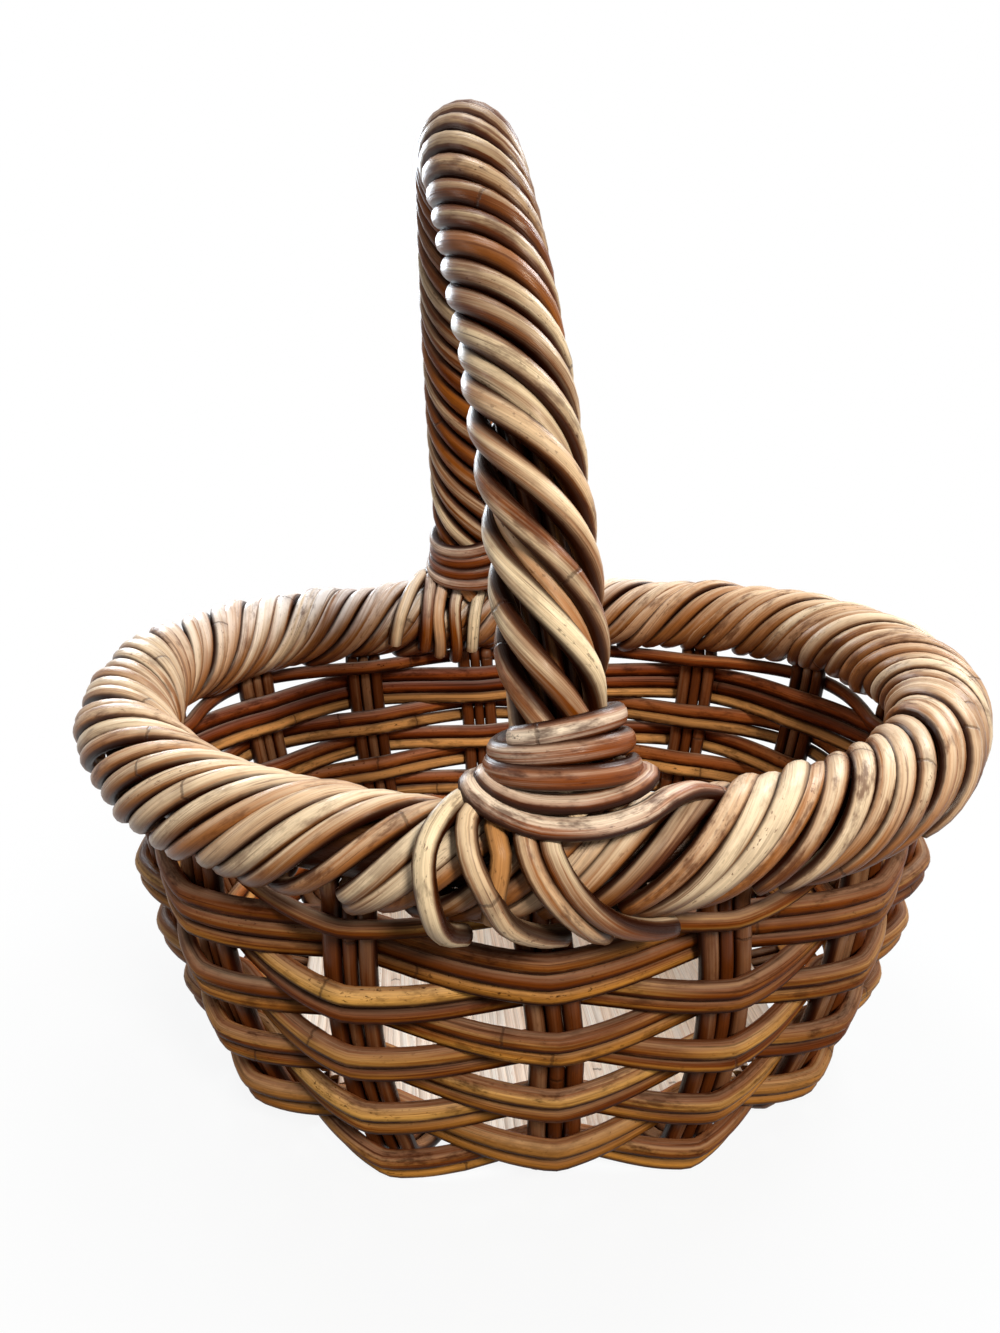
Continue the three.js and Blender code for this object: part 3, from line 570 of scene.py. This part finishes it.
LIFT_WANDER = 0.0005
LIFT_TURN = 47
OUTER_SLIMMING = 0.16
BORDER_FLATNESS = 0.8
RING_SPACING = 0.004


def wall_point(share, level):
    """Middle of the woven wall at a height."""
    part = max(0.0, level / WALL_TOP)
    flare = part ** WALL_CURVE
    belly = WALL_BELLY * 4 * part * (1 - part)
    angle = oval_angle(share)
    half_length = BASE_HALF_LENGTH + (WALL_TOP_HALF_LENGTH - BASE_HALF_LENGTH) * flare + belly
    half_width = BASE_HALF_WIDTH + (WALL_TOP_HALF_WIDTH - BASE_HALF_WIDTH) * flare + belly
    point = oval_point(half_length, half_width, angle)
    point.z = level + part * (RIM_END_RISE * math.cos(2 * angle) + WALL_TILT * math.sin(angle))
    return point


def stake_share(stake, level):
    """Share of the way round at which a stake group stands. Its shift is used up below the border."""
    shift = STAKE_SHIFTS[stake % STAKE_GROUPS] / RIM_LENGTH
    return stake / STAKE_GROUPS + shift * min(1, (1 - level / WALL_TOP) / SHIFT_FADE)


def wall_along(share, level):
    """Along the wall, level round the basket."""
    return (wall_point(share + RIM_NUDGE, level) - wall_point(share - RIM_NUDGE, level)).normalized()


def wall_normal(share, level):
    """Out of the wall."""
    upward = wall_point(share, level + LEVEL_NUDGE) - wall_point(share, level - LEVEL_NUDGE)
    return wall_along(share, level).cross(upward).normalized()


def bend(stops, spacing):
    """A smooth run of stops about one spacing apart, through the given ones."""
    points = [stop.point for stop in stops]
    leans = []
    for number in range(len(points)):
        before = points[max(0, number - 1)]
        after = points[min(len(points) - 1, number + 1)]
        leans.append((after - before).normalized())
    smooth = []
    for number in range(len(stops) - 1):
        here = stops[number]
        there = stops[number + 1]
        span = (there.point - here.point).length
        steps = max(1, round(span / spacing))
        start_handle = here.point + leans[number] * span / 3
        end_handle = there.point - leans[number + 1] * span / 3
        run = interpolate_bezier(here.point, start_handle, end_handle, there.point, steps + 1)
        for step in range(steps):
            part = step / steps
            face = here.face.lerp(there.face, part).normalized()
            width = here.width + (there.width - here.width) * part
            thickness = here.thickness + (there.thickness - here.thickness) * part
            smooth.append(Stop(run[step], face, width, thickness))
    smooth.append(stops[-1])
    return smooth


def roll_advance(turn):
    """How far a rolled cane has moved on along the rim, counted in groups."""
    turned = turn + 360 - STILL_START - STILL_ANGLE
    turns = math.floor(turned / 360)
    rest = turned - 360 * turns
    return ROLL_PER_TURN * (turns + min(1, rest / (360 - STILL_ANGLE)))


def ease(part):
    """A soft step from 0 to 1."""
    part = min(1.0, max(0.0, part))
    return part * part * (3 - 2 * part)


def stake_stops(group, cane, luck):
    """Route of one cane of a group, from its foot to its tucked end. The middle cane is the thin one."""
    foot_share = stake_share(group, 0)
    _, along, inward = rim_frame(foot_share)
    slim = STAKE_CANE * (MIDDLE_SHARE if cane == 0 else 1.0) * luck.uniform(*SLIM_SPREAD)
    full = STAKE_CANE * luck.uniform(*FULL_SPREAD)
    base_edge = oval_point(BASE_HALF_LENGTH, BASE_HALF_WIDTH, oval_angle(foot_share))
    stops = []
    for inset in (FOOT_LENGTH, FOOT_LENGTH / 2, FOOT_BEND):
        point = base_edge + inward * inset + along * cane * STAKE_STEP
        point.z = FOOT_LEVEL
        stops.append(Stop(point, UP, slim, FOOT_THICKNESS))
    for part in WALL_PARTS:
        level = part * WALL_TOP
        share = stake_share(group, level)
        point = wall_point(share, level) + along * cane * STAKE_STEP
        stops.append(Stop(point, -wall_normal(share, level), slim, slim))
    lie = luck.uniform(-BORDER_LIE, BORDER_LIE)
    lift = luck.uniform(*BORDER_LIFT)
    sway = luck.uniform(0, ANY_PHASE)
    end = ROLL_END + luck.uniform(*END_SPREAD)
    turn = ROLL_START
    while turn <= end:
        spread = ease((turn - ROLL_START) / SPREAD_TURN)
        advance = group + spread * cane / CANES_ABREAST - roll_advance(turn)
        where = advance / STAKE_GROUPS
        wander = lie + BORDER_WANDER * math.sin(turn / WANDER_TURN + sway)
        shift = (1 - spread) * cane * STAKE_STEP + spread * wander
        where += shift / RIM_LENGTH
        outer = max(0, -math.cos(math.radians(turn)))
        width = slim + (full * (1 - OUTER_SLIMMING * outer) - slim) * spread
        radius = WRAP_RADIUS + spread * (lift + LIFT_WANDER * math.sin(turn / LIFT_TURN + 2 * sway))
        point = border_point(where, turn, radius)
        stops.append(Stop(point, border_normal(where, turn), width, width * BORDER_FLATNESS))
        turn += ROLL_STEP
    return bend(stops, RING_SPACING)


STAKE_TONES = (0.2, 0.92, 0.56)
STAKE_COLOURS = ((70, 30, 9), (140, 88, 44), (213, 188, 155), (158, 98, 48), (78, 36, 13), (150, 84, 36))
stake_finish = cane_finish(
    "stake_cane", STAKE_COLOURS, mottling=0.8, groove=0.98, bleach_and_top_light=0.5, inside=0.1, below=0.95,
    under_shade=0.5, edge=0.68)
luck = random.Random(47)
for group in range(STAKE_GROUPS):
    piece = begin_piece()
    for cane in (-1, 0, 1):
        grow_cane(piece, stake_stops(group, cane, luck), luck.triangular(*STAKE_TONES), luck)
    made = set_in_basket(f"stakes_{group + 1}", piece, stake_finish)
    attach(made, "root")
    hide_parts(f"stake_group_{group + 1}")

# Weaving canes
# Eight courses of two canes and two single canes above them, woven in front of one stake group and
# behind the next. Each goes once round and is spliced at the same stake at the back.
WEAVER = 0.0067
OUTSIDE_DIP = 0.0015
START_STAKE = 3
WAVE_STEPS = 8
WAVE_ROUNDNESS = 0.25
BACK_DEPTH = 0.1
BACK_GROWTH = 0.08
BACK_LIFT = 0.002
GROUND_CLEAR = 0.0003
WEAVER_SPREAD = (0.98, 1.04)
WEAVER_WANDER = 0.0006
WEAVER_WANDERS = 1.1
WEAVER_FLATNESS = 0.94
WEAVER_REACH = STAKE_CANE / 2 + WEAVER / 2 + 0.0012
COURSES = 8


def weaver_stops(middle_height, first_side, size, luck):
    """Route of a weaving cane, in front of one stake group and behind the next, lower where it is outside."""
    level = (middle_height + OUTSIDE_DIP / 2) / (1 - WALL_TILT / 2 / WALL_TOP)
    thick = WEAVER * size * luck.uniform(*WEAVER_SPREAD)
    sway = luck.uniform(0, ANY_PHASE)
    stops = []
    for step in range(STAKE_GROUPS * WAVE_STEPS + 1):
        turn = step / WAVE_STEPS
        slope = 1 - 2 * (turn % 1)
        rounded = 1 + WAVE_ROUNDNESS * (1 - slope * slope)
        outside = first_side * (-1) ** (step // WAVE_STEPS) * slope * rounded
        wander = WEAVER_WANDER * math.sin(turn * WEAVER_WANDERS + sway)
        here = level - OUTSIDE_DIP * (1 + outside) / 2 + wander
        before = START_STAKE + step // WAVE_STEPS
        part = step % WAVE_STEPS / WAVE_STEPS
        share = stake_share(before, here) * (1 - part) + stake_share(before + 1, here) * part
        point = wall_point(share, here)
        back = ease((point.y - basket_middle.y) / BACK_DEPTH)
        tall = thick * (1 + BACK_GROWTH * back)
        out = wall_normal(share, here)
        point += out * outside * WEAVER_REACH
        point.z = max(point.z + BACK_LIFT * back * level / WALL_TOP, tall / 2 + GROUND_CLEAR)
        stops.append(Stop(point, out, tall, thick * WEAVER_FLATNESS))
    return bend(stops, RING_SPACING)


LOWER_COLOURS = ((46, 11, 1), (98, 44, 6), (180, 120, 48), (104, 46, 6), (36, 8, 1), (220, 156, 90))
UPPER_COLOURS = ((50, 13, 1), (108, 52, 8), (204, 150, 76), (114, 53, 8), (38, 9, 1), (152, 66, 26))
WEAVER_TONES = (0.67, 0.93)
TONE_DROP = 0.42
lower_finish = cane_finish(
    "lower_weaver_cane", LOWER_COLOURS, mottling=0.6, groove=0.97, bleach_and_top_light=0.15, inside=0.9,
    shine=0.03, lit_edges=0.4, under_shade=1.0)
upper_finish = cane_finish(
    "upper_weaver_cane", UPPER_COLOURS, mottling=0.8, groove=0.97, bleach_and_top_light=0.2, inside=0.7,
    shine=0.03, lit_edges=1, under_shade=0.95)
LOWER_SIZE = 1.06
UPPER_SIZE = 1.16
luck = random.Random(59)
weavers = []
for course in range(1, COURSES + 1):
    side = -1 if course % 2 else 1
    weavers.append((f"weaver_{course}_lower", side, LOWER_SIZE, lower_finish))
    weavers.append((f"weaver_{course}_upper", side, UPPER_SIZE, upper_finish))
weavers.append(("top_weaver_lower", 1, UPPER_SIZE, upper_finish))
weavers.append(("top_weaver_upper", -1, LOWER_SIZE, upper_finish))
for node, side, size, finish in weavers:
    low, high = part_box(node)
    piece = begin_piece()
    stops = weaver_stops((low.z + high.z) / 2, side, size, luck)
    grow_cane(piece, stops, luck.uniform(*WEAVER_TONES) - TONE_DROP * high.z / WALL_TOP, luck)
    made = set_in_basket(f"{node}_cane", piece, finish)
    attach(made, "root")
    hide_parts(node)

# Handle core
# A bundle of long canes bent over from rim to rim. It stiffens the handle and only shows,
# in shadow, where the twisted canes open above the collars, and as one end laid over the border.
NEAR_STAKE = 11
FAR_STAKE = 4
NEAR_SHARE = stake_share(NEAR_STAKE, 0)
FAR_SHARE = stake_share(FAR_STAKE, 0)
HANDLE_HEIGHT = 0.389
HANDLE_LEAN = -0.020
NEAR_LEAN_CURVE = 1.8
FAR_LEAN_CURVE = 0.65
ARCH = ((1, 0), (0.992, 0.06), (0.955, 0.167), (0.825, 0.4), (0.63, 0.635), (0.397, 0.838), (0.2, 0.966))
near_foot = rim_point(NEAR_SHARE)
far_foot = rim_point(FAR_SHARE)


def arch_stop(foot, out, rise, lean_curve):
    """A place on the arch, by its shares of the way out to a foot and up to the top."""
    x = foot.x + (near_foot.x + HANDLE_LEAN - foot.x) * rise ** lean_curve
    y = basket_middle.y + (foot.y - basket_middle.y) * out
    return Stop(Vector((x, y, foot.z + (HANDLE_HEIGHT - near_foot.z) * rise)), UP, 0, 0)


arch_stops = [arch_stop(near_foot, out, rise, NEAR_LEAN_CURVE) for out, rise in ARCH]
arch_stops.append(arch_stop(near_foot, 0, 1, NEAR_LEAN_CURVE))
arch_stops += [arch_stop(far_foot, out, rise, FAR_LEAN_CURVE) for out, rise in reversed(ARCH)]
ARCH_SPACING = 0.001
ARCH_NUDGE = 0.003
arch_run = [stop.point for stop in bend(arch_stops, ARCH_SPACING)]
arch_lengths = [0.0]
for before, after in zip(arch_run, arch_run[1:]):
    arch_lengths.append(arch_lengths[-1] + (after - before).length)
ARCH_LENGTH = arch_lengths[-1]


def arch_middle(length):
    """Middle of the handle at a length from its near foot."""
    length = min(ARCH_LENGTH, max(0.0, length))
    place = min(len(arch_run) - 1, max(1, bisect.bisect_left(arch_lengths, length)))
    part = (length - arch_lengths[place - 1]) / (arch_lengths[place] - arch_lengths[place - 1])
    return arch_run[place - 1].lerp(arch_run[place], part)


def arch_radial(length, angle):
    """Out of the handle's middle: angle 0 is towards the basket's right end, a quarter turn outwards."""
    along = (arch_middle(length + ARCH_NUDGE) - arch_middle(length - ARCH_NUDGE)).normalized()
    sideways = Vector((1, 0, 0))
    sideways = (sideways - along * sideways.dot(along)).normalized()
    return sideways * math.cos(angle) + sideways.cross(along) * math.sin(angle)


def arch_point(length, angle, radius):
    """A point at a radius from the middle of the handle."""
    return arch_middle(length) + arch_radial(length, angle) * radius


def by_foot(rows, length):
    """A size that changes along a leg, from rows of distance along the leg and size."""
    away = min(length, ARCH_LENGTH - length)
    if away <= rows[0][0]:
        return rows[0][1]
    for (start, first), (end, last) in zip(rows, rows[1:]):
        if away <= end:
            return first + (last - first) * ease((away - start) / (end - start))
    return rows[-1][1]


CORE_ROWS = ((0.046, 0.0068), (0.070, 0.0098))
CORE_CANES = 6
CORE_SHARE = 0.68
CORE_TWIST = 9
CORE_SIDES = 10
CORE_STEPS = 190
CORE_START = BORDER_RADIUS + 0.006
MM_IN_METRE = 1000
# The end over the border: millimetres along the rim from the foot, and the turn round the border
CORE_STUB = ((-22, 112), (-23, 126), (-21, 147), (-22, 168), (-24, 205))
STUB_LIFT = 0.003
STUB_WIDTH = 0.0072
STUB_THICKNESS = 0.006
STUB_TONE = 1.0
STUB_BLUSH = 0.0
CORE_COLOURS = ((44, 14, 3), (84, 38, 11), (176, 122, 70), (96, 40, 12), (34, 10, 3), (92, 46, 16))
core_finish = cane_finish("core_cane", CORE_COLOURS, mottling=0.5)
luck = random.Random(61)
piece = begin_piece()
for cane in range(CORE_CANES):
    stops = []
    for step in range(CORE_STEPS + 1):
        length = CORE_START + (ARCH_LENGTH - 2 * CORE_START) * step / CORE_STEPS
        angle = cane / CORE_CANES * math.tau + length * CORE_TWIST
        radius = by_foot(CORE_ROWS, length)
        thick = radius * CORE_SHARE
        point = arch_point(length, angle, radius - thick / 2)
        stops.append(Stop(point, arch_radial(length, angle), thick, thick))
    grow_cane(piece, stops, luck.random(), luck, CORE_SIDES)
stops = []
for across, turn in CORE_STUB:
    where = NEAR_SHARE + across / MM_IN_METRE / RIM_LENGTH
    point = border_point(where, turn, BORDER_RADIUS + STUB_LIFT)
    stops.append(Stop(point, border_normal(where, turn), STUB_WIDTH, STUB_THICKNESS))
grow_cane(piece, bend(stops, RING_SPACING), STUB_TONE, luck, CORE_SIDES, STUB_BLUSH)
made = set_in_basket("core_canes", piece, core_finish)
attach(made, "root")
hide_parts("handle_core")

# Handle canes
# Eight stout canes twisted round the core. At each foot they are drawn in under the collar, then
# splay over the border inside and outside and are tucked in under it.
HANDLE_WIDTH = 0.0086
HANDLE_THICKNESS = 0.0080
HANDLE_TURNS = 5
FIRST_CANE_ANGLE = 40
TWIST_EASE = 0.035
TWIST_START = 0.022
TWIST_LENGTH = ARCH_LENGTH - 2 * TWIST_START
TWIST_STEPS = 150
TWIST_ROWS = ((0.022, 0.0176), (0.034, 0.0140), (0.048, 0.0122), (0.068, 0.0152))
OPEN_FROM = 0.200
OPEN_FULL = 0.105
CLOSED_AT = 0.022
CLOSING = 0.03
# How far low on the near leg each cane is turned aside, in degrees, and sunk
OPENING = ((14, 0), (0, 0.0048), (-14, 0), (0, 0), (14, 0), (0, 0.0048), (-14, 0), (0, 0))
TAIL_RADIUS = BORDER_RADIUS + 0.0042
TAIL_WIDTH = 0.0078
# Each tail's way over the border: millimetres along the rim from the foot, and the turn round the border
NEAR_TAILS = (
    ((22, 88), (28, 60), (31, 25), (32, -5), (32, -30)),
    ((-4, 120), (-7, 136), (-3, 163), (4, 186), (14, 210), (26, 232), (36, 246)),
    ((-13, 118), (-14, 136), (-11, 160), (-4, 185), (6, 215), (12, 235)),
    ((-26, 104), (-31, 121), (-30, 149), (-25, 175), (-19, 205), (-9, 230), (0, 244)),
    ((-24, 86), (-34, 104), (-41, 131), (-43, 156), (-41, 194), (-38, 228), (-32, 246)),
    ((-10, 60), (-10, 36), (-10, 12), (-9, -12), (-8, -32)),
    ((3, 55), (4, 32), (5, 8), (5, -14), (5, -34)),
    ((14, 60), (16, 35), (18, 10), (18, -12), (19, -32)),
)
FAR_TAILS = (
    ((-24, 98), (-30, 122), (-33, 155), (-34, 195), (-34, 232)),
    ((-13, 118), (-17, 140), (-19, 170), (-20, 205), (-20, 236)),
    ((3, 124), (2, 150), (0, 178), (-3, 208), (-5, 236)),
    ((27, 104), (38, 72), (51, 29), (56, 5), (58, -17)),
    ((25, 90), (31, 58), (35, 27), (37, -2), (38, -29)),
    ((17, 79), (25, 48), (29, 17), (28, -14), (27, -43)),
    ((6, 78), (14, 50), (18, 25), (17, -22), (16, -60)),
    ((-2, 60), (3, 36), (6, 12), (7, -12), (7, -34)),
)
STRAND_TONES = (0.58, 0.62, 0.5, 0.4, 0.46, 0.3, 0.38, 0.6)
FOOT_TONES = (0.5, 0.68, 0.66, 0.64, 0.68, 0.54, 0.74, 0.5)
FAR_TONES = (0.7, 0.7, 0.7, 0.9, 0.55, 0.95, 0.45, 0.85)
STRAND_BLUSH = (0.1, 0.2, 0.7, 0.6, 0.1, 0.9, 0.2, 0.3)


def strand_stop(cane, length, width):
    """A place on a twisted cane. Low on the near leg two canes sink inwards and dark gaps open."""
    part = min(1.0, max(0.0, (length - TWIST_START) / TWIST_LENGTH))
    eased = part - TWIST_EASE * math.sin(math.tau * part)
    angle = math.radians(FIRST_CANE_ANGLE) + cane / len(OPENING) * math.tau + eased * HANDLE_TURNS * math.tau
    opened = ease((OPEN_FROM - length) / (OPEN_FROM - OPEN_FULL)) * ease((length - CLOSED_AT) / CLOSING)
    turned, sunk = OPENING[cane]
    angle += math.radians(turned) * opened
    radius = by_foot(TWIST_ROWS, length) - sunk * opened
    thick = width * HANDLE_THICKNESS / HANDLE_WIDTH
    return Stop(arch_point(length, angle, radius), arch_radial(length, angle), width, thick)


def tail_stops(rows, share):
    """A handle cane's end, from the foot of the leg over the border to where it is tucked in."""
    stops = []
    for across, turn in rows:
        where = share + across / MM_IN_METRE / RIM_LENGTH
        point = border_point(where, turn, TAIL_RADIUS)
        stops.append(Stop(point, border_normal(where, turn), TAIL_WIDTH, TAIL_WIDTH))
    return stops


STRAND_SPREAD = (0.97, 1.05)
# The pale colour is kept light, partly as painted highlight on the crests.
HANDLE_COLOURS = ((76, 25, 4), (120, 60, 9), (234, 209, 170), (168, 96, 26), (62, 18, 3), (130, 74, 23))
handle_finish = cane_finish(
    "handle_cane", HANDLE_COLOURS, mottling=0.7, groove=0.94, bleach_and_top_light=0.25, shine=0.16, darker_top=0.82, under_shade=0.25)
luck = random.Random(73)
for cane, tone in enumerate(STRAND_TONES):
    width = HANDLE_WIDTH * luck.uniform(*STRAND_SPREAD)
    stops = list(reversed(tail_stops(NEAR_TAILS[cane], NEAR_SHARE)))
    for step in range(TWIST_STEPS + 1):
        stops.append(strand_stop(cane, TWIST_START + TWIST_LENGTH * step / TWIST_STEPS, width))
    stops += tail_stops(FAR_TAILS[cane], FAR_SHARE)
    piece = begin_piece()
    grow_cane(
        piece, bend(stops, RING_SPACING), tone, luck, STOUT_SIDES, STRAND_BLUSH[cane],
        start_tone=FOOT_TONES[cane], end_tone=FAR_TONES[cane])
    made = set_in_basket(f"handle_strand_{cane + 1}", piece, handle_finish)
    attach(made, "root")
    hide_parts(f"handle_cane_{cane + 1}")

# Collars
# One long cane wound four to six times round the foot of each leg, its upper end cut off short.
# It binds the handle canes before they splay, and its lowest turns lie on the border, over the tails.
COLLAR_WIDTH = 0.0082
COLLAR_THICKNESS = 0.0064
NEAR_TURNS = 2.4
FAR_TURNS = 3.9
COLLAR_LOOP = 36
COLLAR_START = 0.0315
COLLAR_PITCH = 0.0067
COLLAR_TILT = 0.004
COLLAR_START_ANGLE = 6
COLLAR_ROWS = ((0.0315, 0.0238), (0.038, 0.0216), (0.049, 0.0192))
COLLAR_WANDER = 0.0004
COLLAR_WANDERS = 1.7
# The way of the lowest turns: millimetres along the rim from the foot, the turn round the border,
# and millimetres off it
NEAR_LOOPS = (
    (57, 80, -4.5), (50, 88, -1), (42, 98, 3), (32, 111, 5.8), (21, 125, 7.5), (7, 132, 8.5),
    (-9, 131, 8.5), (-21, 121, 8), (-29, 106, 7.5), (-31, 90, 7), (-28, 74, 7), (-17, 61, 7), (0, 57, 7),
    (16, 63, 7.5), (27, 83, 8.5), (26, 99, 10), (17, 112, 11), (4, 118, 11.5), (-11, 117, 11.5),
    (-21, 107, 10.5), (-26, 90, 9.5), (-24, 74, 9), (-14, 64, 9), (0, 62, 9), (14, 68, 9.5),
    (22, 82, 10.5),
)
FAR_LOOPS = (
    (-26, 100, 7), (-14, 120, 8), (4, 124, 8), (20, 114, 8), (27, 96, 7), (24, 72, 7), (8, 56, 7),
    (-10, 62, 8), (-22, 84, 9.5), (-18, 104, 10), (-4, 114, 11), (12, 110, 10.5), (23, 96, 10),
    (22, 76, 9.5), (8, 64, 9.5), (-10, 68, 10),
)


def collar_stops(at_near, luck):
    """Route of a collar, from its lower end up round the leg."""
    stops = []
    foot_share = NEAR_SHARE if at_near else FAR_SHARE
    for across, turn, lift in NEAR_LOOPS if at_near else FAR_LOOPS:
        where = foot_share + across / MM_IN_METRE / RIM_LENGTH
        point = border_point(where, turn, BORDER_RADIUS + lift / MM_IN_METRE)
        stops.append(Stop(point, border_normal(where, turn), COLLAR_WIDTH, COLLAR_THICKNESS))
    turns = NEAR_TURNS if at_near else FAR_TURNS
    steps = round(turns * COLLAR_LOOP)
    sway = luck.uniform(0, ANY_PHASE)
    for step in range(steps + 1):
        turn = turns * step / steps
        turned = math.radians(COLLAR_START_ANGLE) + turn * math.tau
        length = COLLAR_START + turn * COLLAR_PITCH
        wander = COLLAR_WANDER * math.sin(COLLAR_WANDERS * turned + sway)
        radius = by_foot(COLLAR_ROWS, length) + wander
        length += COLLAR_TILT * math.cos(turned) * turn / turns
        angle = turned if at_near else -turned
        length = length if at_near else ARCH_LENGTH - length
        point = arch_point(length, angle, radius)
        stops.append(Stop(point, arch_radial(length, angle), COLLAR_WIDTH, COLLAR_THICKNESS))
    return stops


COLLAR_TONES = (0.38, 0.46)
# The pale colour is near white, partly as painted highlight on the crests.
COLLAR_COLOURS = ((62, 18, 3), (124, 60, 16), (250, 228, 202), (130, 62, 14), (58, 18, 4), (136, 80, 36))
collar_finish = cane_finish(
    "collar_cane", COLLAR_COLOURS, mottling=1.0, groove=0.98, bleach_and_top_light=0.2, shine=0.16, under_shade=0.2)
luck = random.Random(83)
for name, at_near in (("collar_near", True), ("collar_far", False)):
    piece = begin_piece()
    stops = bend(collar_stops(at_near, luck), RING_SPACING)
    grow_cane(piece, stops, luck.uniform(*COLLAR_TONES), luck, STOUT_SIDES)
    made = set_in_basket(f"{name}_cane", piece, collar_finish)
    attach(made, "root")
    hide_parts(name)

# Floor, light and camera
# A plain pale floor that runs out to white, a warm lamp in front, a cool one at the right, weaker
# ones above, behind and at the left, and a camera where the photograph was taken from.
GROUND_RADIUS = 6.0
GROUND_SIDES = 64
GROUND_ROUGHNESS = 0.9
SHADOW_REACH = (0.14, 0.42)
GLOW_NEAR = 0.9
GLOW_GAIN = 0.1
UNSEEN_GREY = (0.12, 0.12, 0.12, 1)
SEEN_GREY = (0.5, 0.5, 0.5, 1)
WHITE = (1, 1, 1, 1)
ROOM_LIGHT = 0.2
scene = bpy.context.scene
ground = bmesh.new()
bmesh.ops.create_circle(ground, cap_ends=True, segments=GROUND_SIDES, radius=GROUND_RADIUS)
ground_mesh = bpy.data.meshes.new("ground")
ground.to_mesh(ground_mesh)
ground.free()
ground_material = bpy.data.materials.new("pale_ground")
ground_material.use_nodes = True
tree = ground_material.node_tree
shader = tree.nodes["Principled BSDF"]
shader.inputs["Roughness"].default_value = GROUND_ROUGHNESS
place = tree.nodes.new("ShaderNodeTexCoord").outputs["Object"]
far = put(tree, "ShaderNodeVectorMath", {0: place}, operation="LENGTH").outputs["Value"]
away = reckon(tree, "MULTIPLY_ADD", fade(tree, far, *SHADOW_REACH), GLOW_GAIN, GLOW_NEAR)
paths = tree.nodes.new("ShaderNodeLightPath").outputs
seen = reckon(tree, "MAXIMUM", paths["Is Camera Ray"], paths["Is Glossy Ray"])
seen = reckon(tree, "MAXIMUM", seen, paths["Is Transmission Ray"])
shade = tint(tree, seen, UNSEEN_GREY, SEEN_GREY)
tree.links.new(shade, shader.inputs["Base Color"])
white = put(tree, "ShaderNodeEmission", {"Color": WHITE, "Strength": 1.0}).outputs[0]
glow = reckon(tree, "MULTIPLY", away, seen)
mixed = put(tree, "ShaderNodeMixShader", {0: glow, 1: shader.outputs[0], 2: white})
tree.links.new(mixed.outputs[0], tree.nodes["Material Output"].inputs["Surface"])
ground_mesh.materials.append(ground_material)
ground_object = bpy.data.objects.new("ground", ground_mesh)
scene.collection.objects.link(ground_object)

world = bpy.data.worlds.new("studio")
world.use_nodes = True
scene.world = world
tree = world.node_tree
tree.nodes.clear()
paths = tree.nodes.new("ShaderNodeLightPath").outputs
shown = reckon(tree, "MAXIMUM", paths["Is Camera Ray"], paths["Is Transmission Ray"])
shown = reckon(tree, "MAXIMUM", shown, paths["Is Glossy Ray"])
soft = put(tree, "ShaderNodeBackground", {"Color": WHITE, "Strength": ROOM_LIGHT}).outputs[0]
plain = put(tree, "ShaderNodeBackground", {"Color": WHITE, "Strength": 1.0}).outputs[0]
both = put(tree, "ShaderNodeMixShader", {0: shown, 1: soft, 2: plain}).outputs[0]
put(tree, "ShaderNodeOutputWorld", {"Surface": both})

# Each lamp: its name, place, size, power in watts and colour
LAMPS = (
    ("lamp_above", (0.0, 0.6, 1.7), 0.6, 11.0, (1.0, 0.99, 0.97)),
    ("lamp_back", (-0.6, 1.25, 0.6), 0.6, 14.0, (0.8, 0.9, 1.0)),
    ("lamp_left", (-1.1, -0.1, 0.6), 0.35, 2.5, (0.92, 0.96, 1.0)),
    ("lamp_front", (0.4, -1.15, 1.15), 0.4, 25.0, (1.0, 0.97, 0.9)),
    ("lamp_right", (0.9, 0.6, 1.15), 0.6, 21.0, (0.84, 0.92, 1.0)),
)
LAMP_TARGET = Vector((0, 0, 0.15))
for name, place, size, power, colour in LAMPS:
    lamp = bpy.data.lights.new(name, "AREA")
    lamp.shape = "DISK"
    lamp.size = size
    lamp.energy = power
    lamp.color = colour
    lamp_object = bpy.data.objects.new(name, lamp)
    lamp_object.location = place
    lamp_object.rotation_euler = (LAMP_TARGET - Vector(place)).to_track_quat("-Z", "Y").to_euler()
    scene.collection.objects.link(lamp_object)

PHOTO_HEIGHT = 1333
FOCAL_PIXELS = 1013.35
SENSOR = 36.0
CLIP_START = 0.01
CAMERA_PLACE = Vector((-0.0633, -0.4383, 0.3345))
CAMERA_YAW = 0.107
CAMERA_PITCH = 0.342
camera = bpy.data.cameras.new("photo_camera")
camera.sensor_width = SENSOR
camera.lens = SENSOR * FOCAL_PIXELS / PHOTO_HEIGHT
camera.clip_start = CLIP_START
camera_object = bpy.data.objects.new("photo_camera", camera)
camera_object.location = CAMERA_PLACE + basket_middle
camera_object.rotation_euler = (math.pi / 2 - CAMERA_PITCH, 0, -CAMERA_YAW)
scene.collection.objects.link(camera_object)
scene.camera = camera_object
scene.view_settings.view_transform = "Standard"
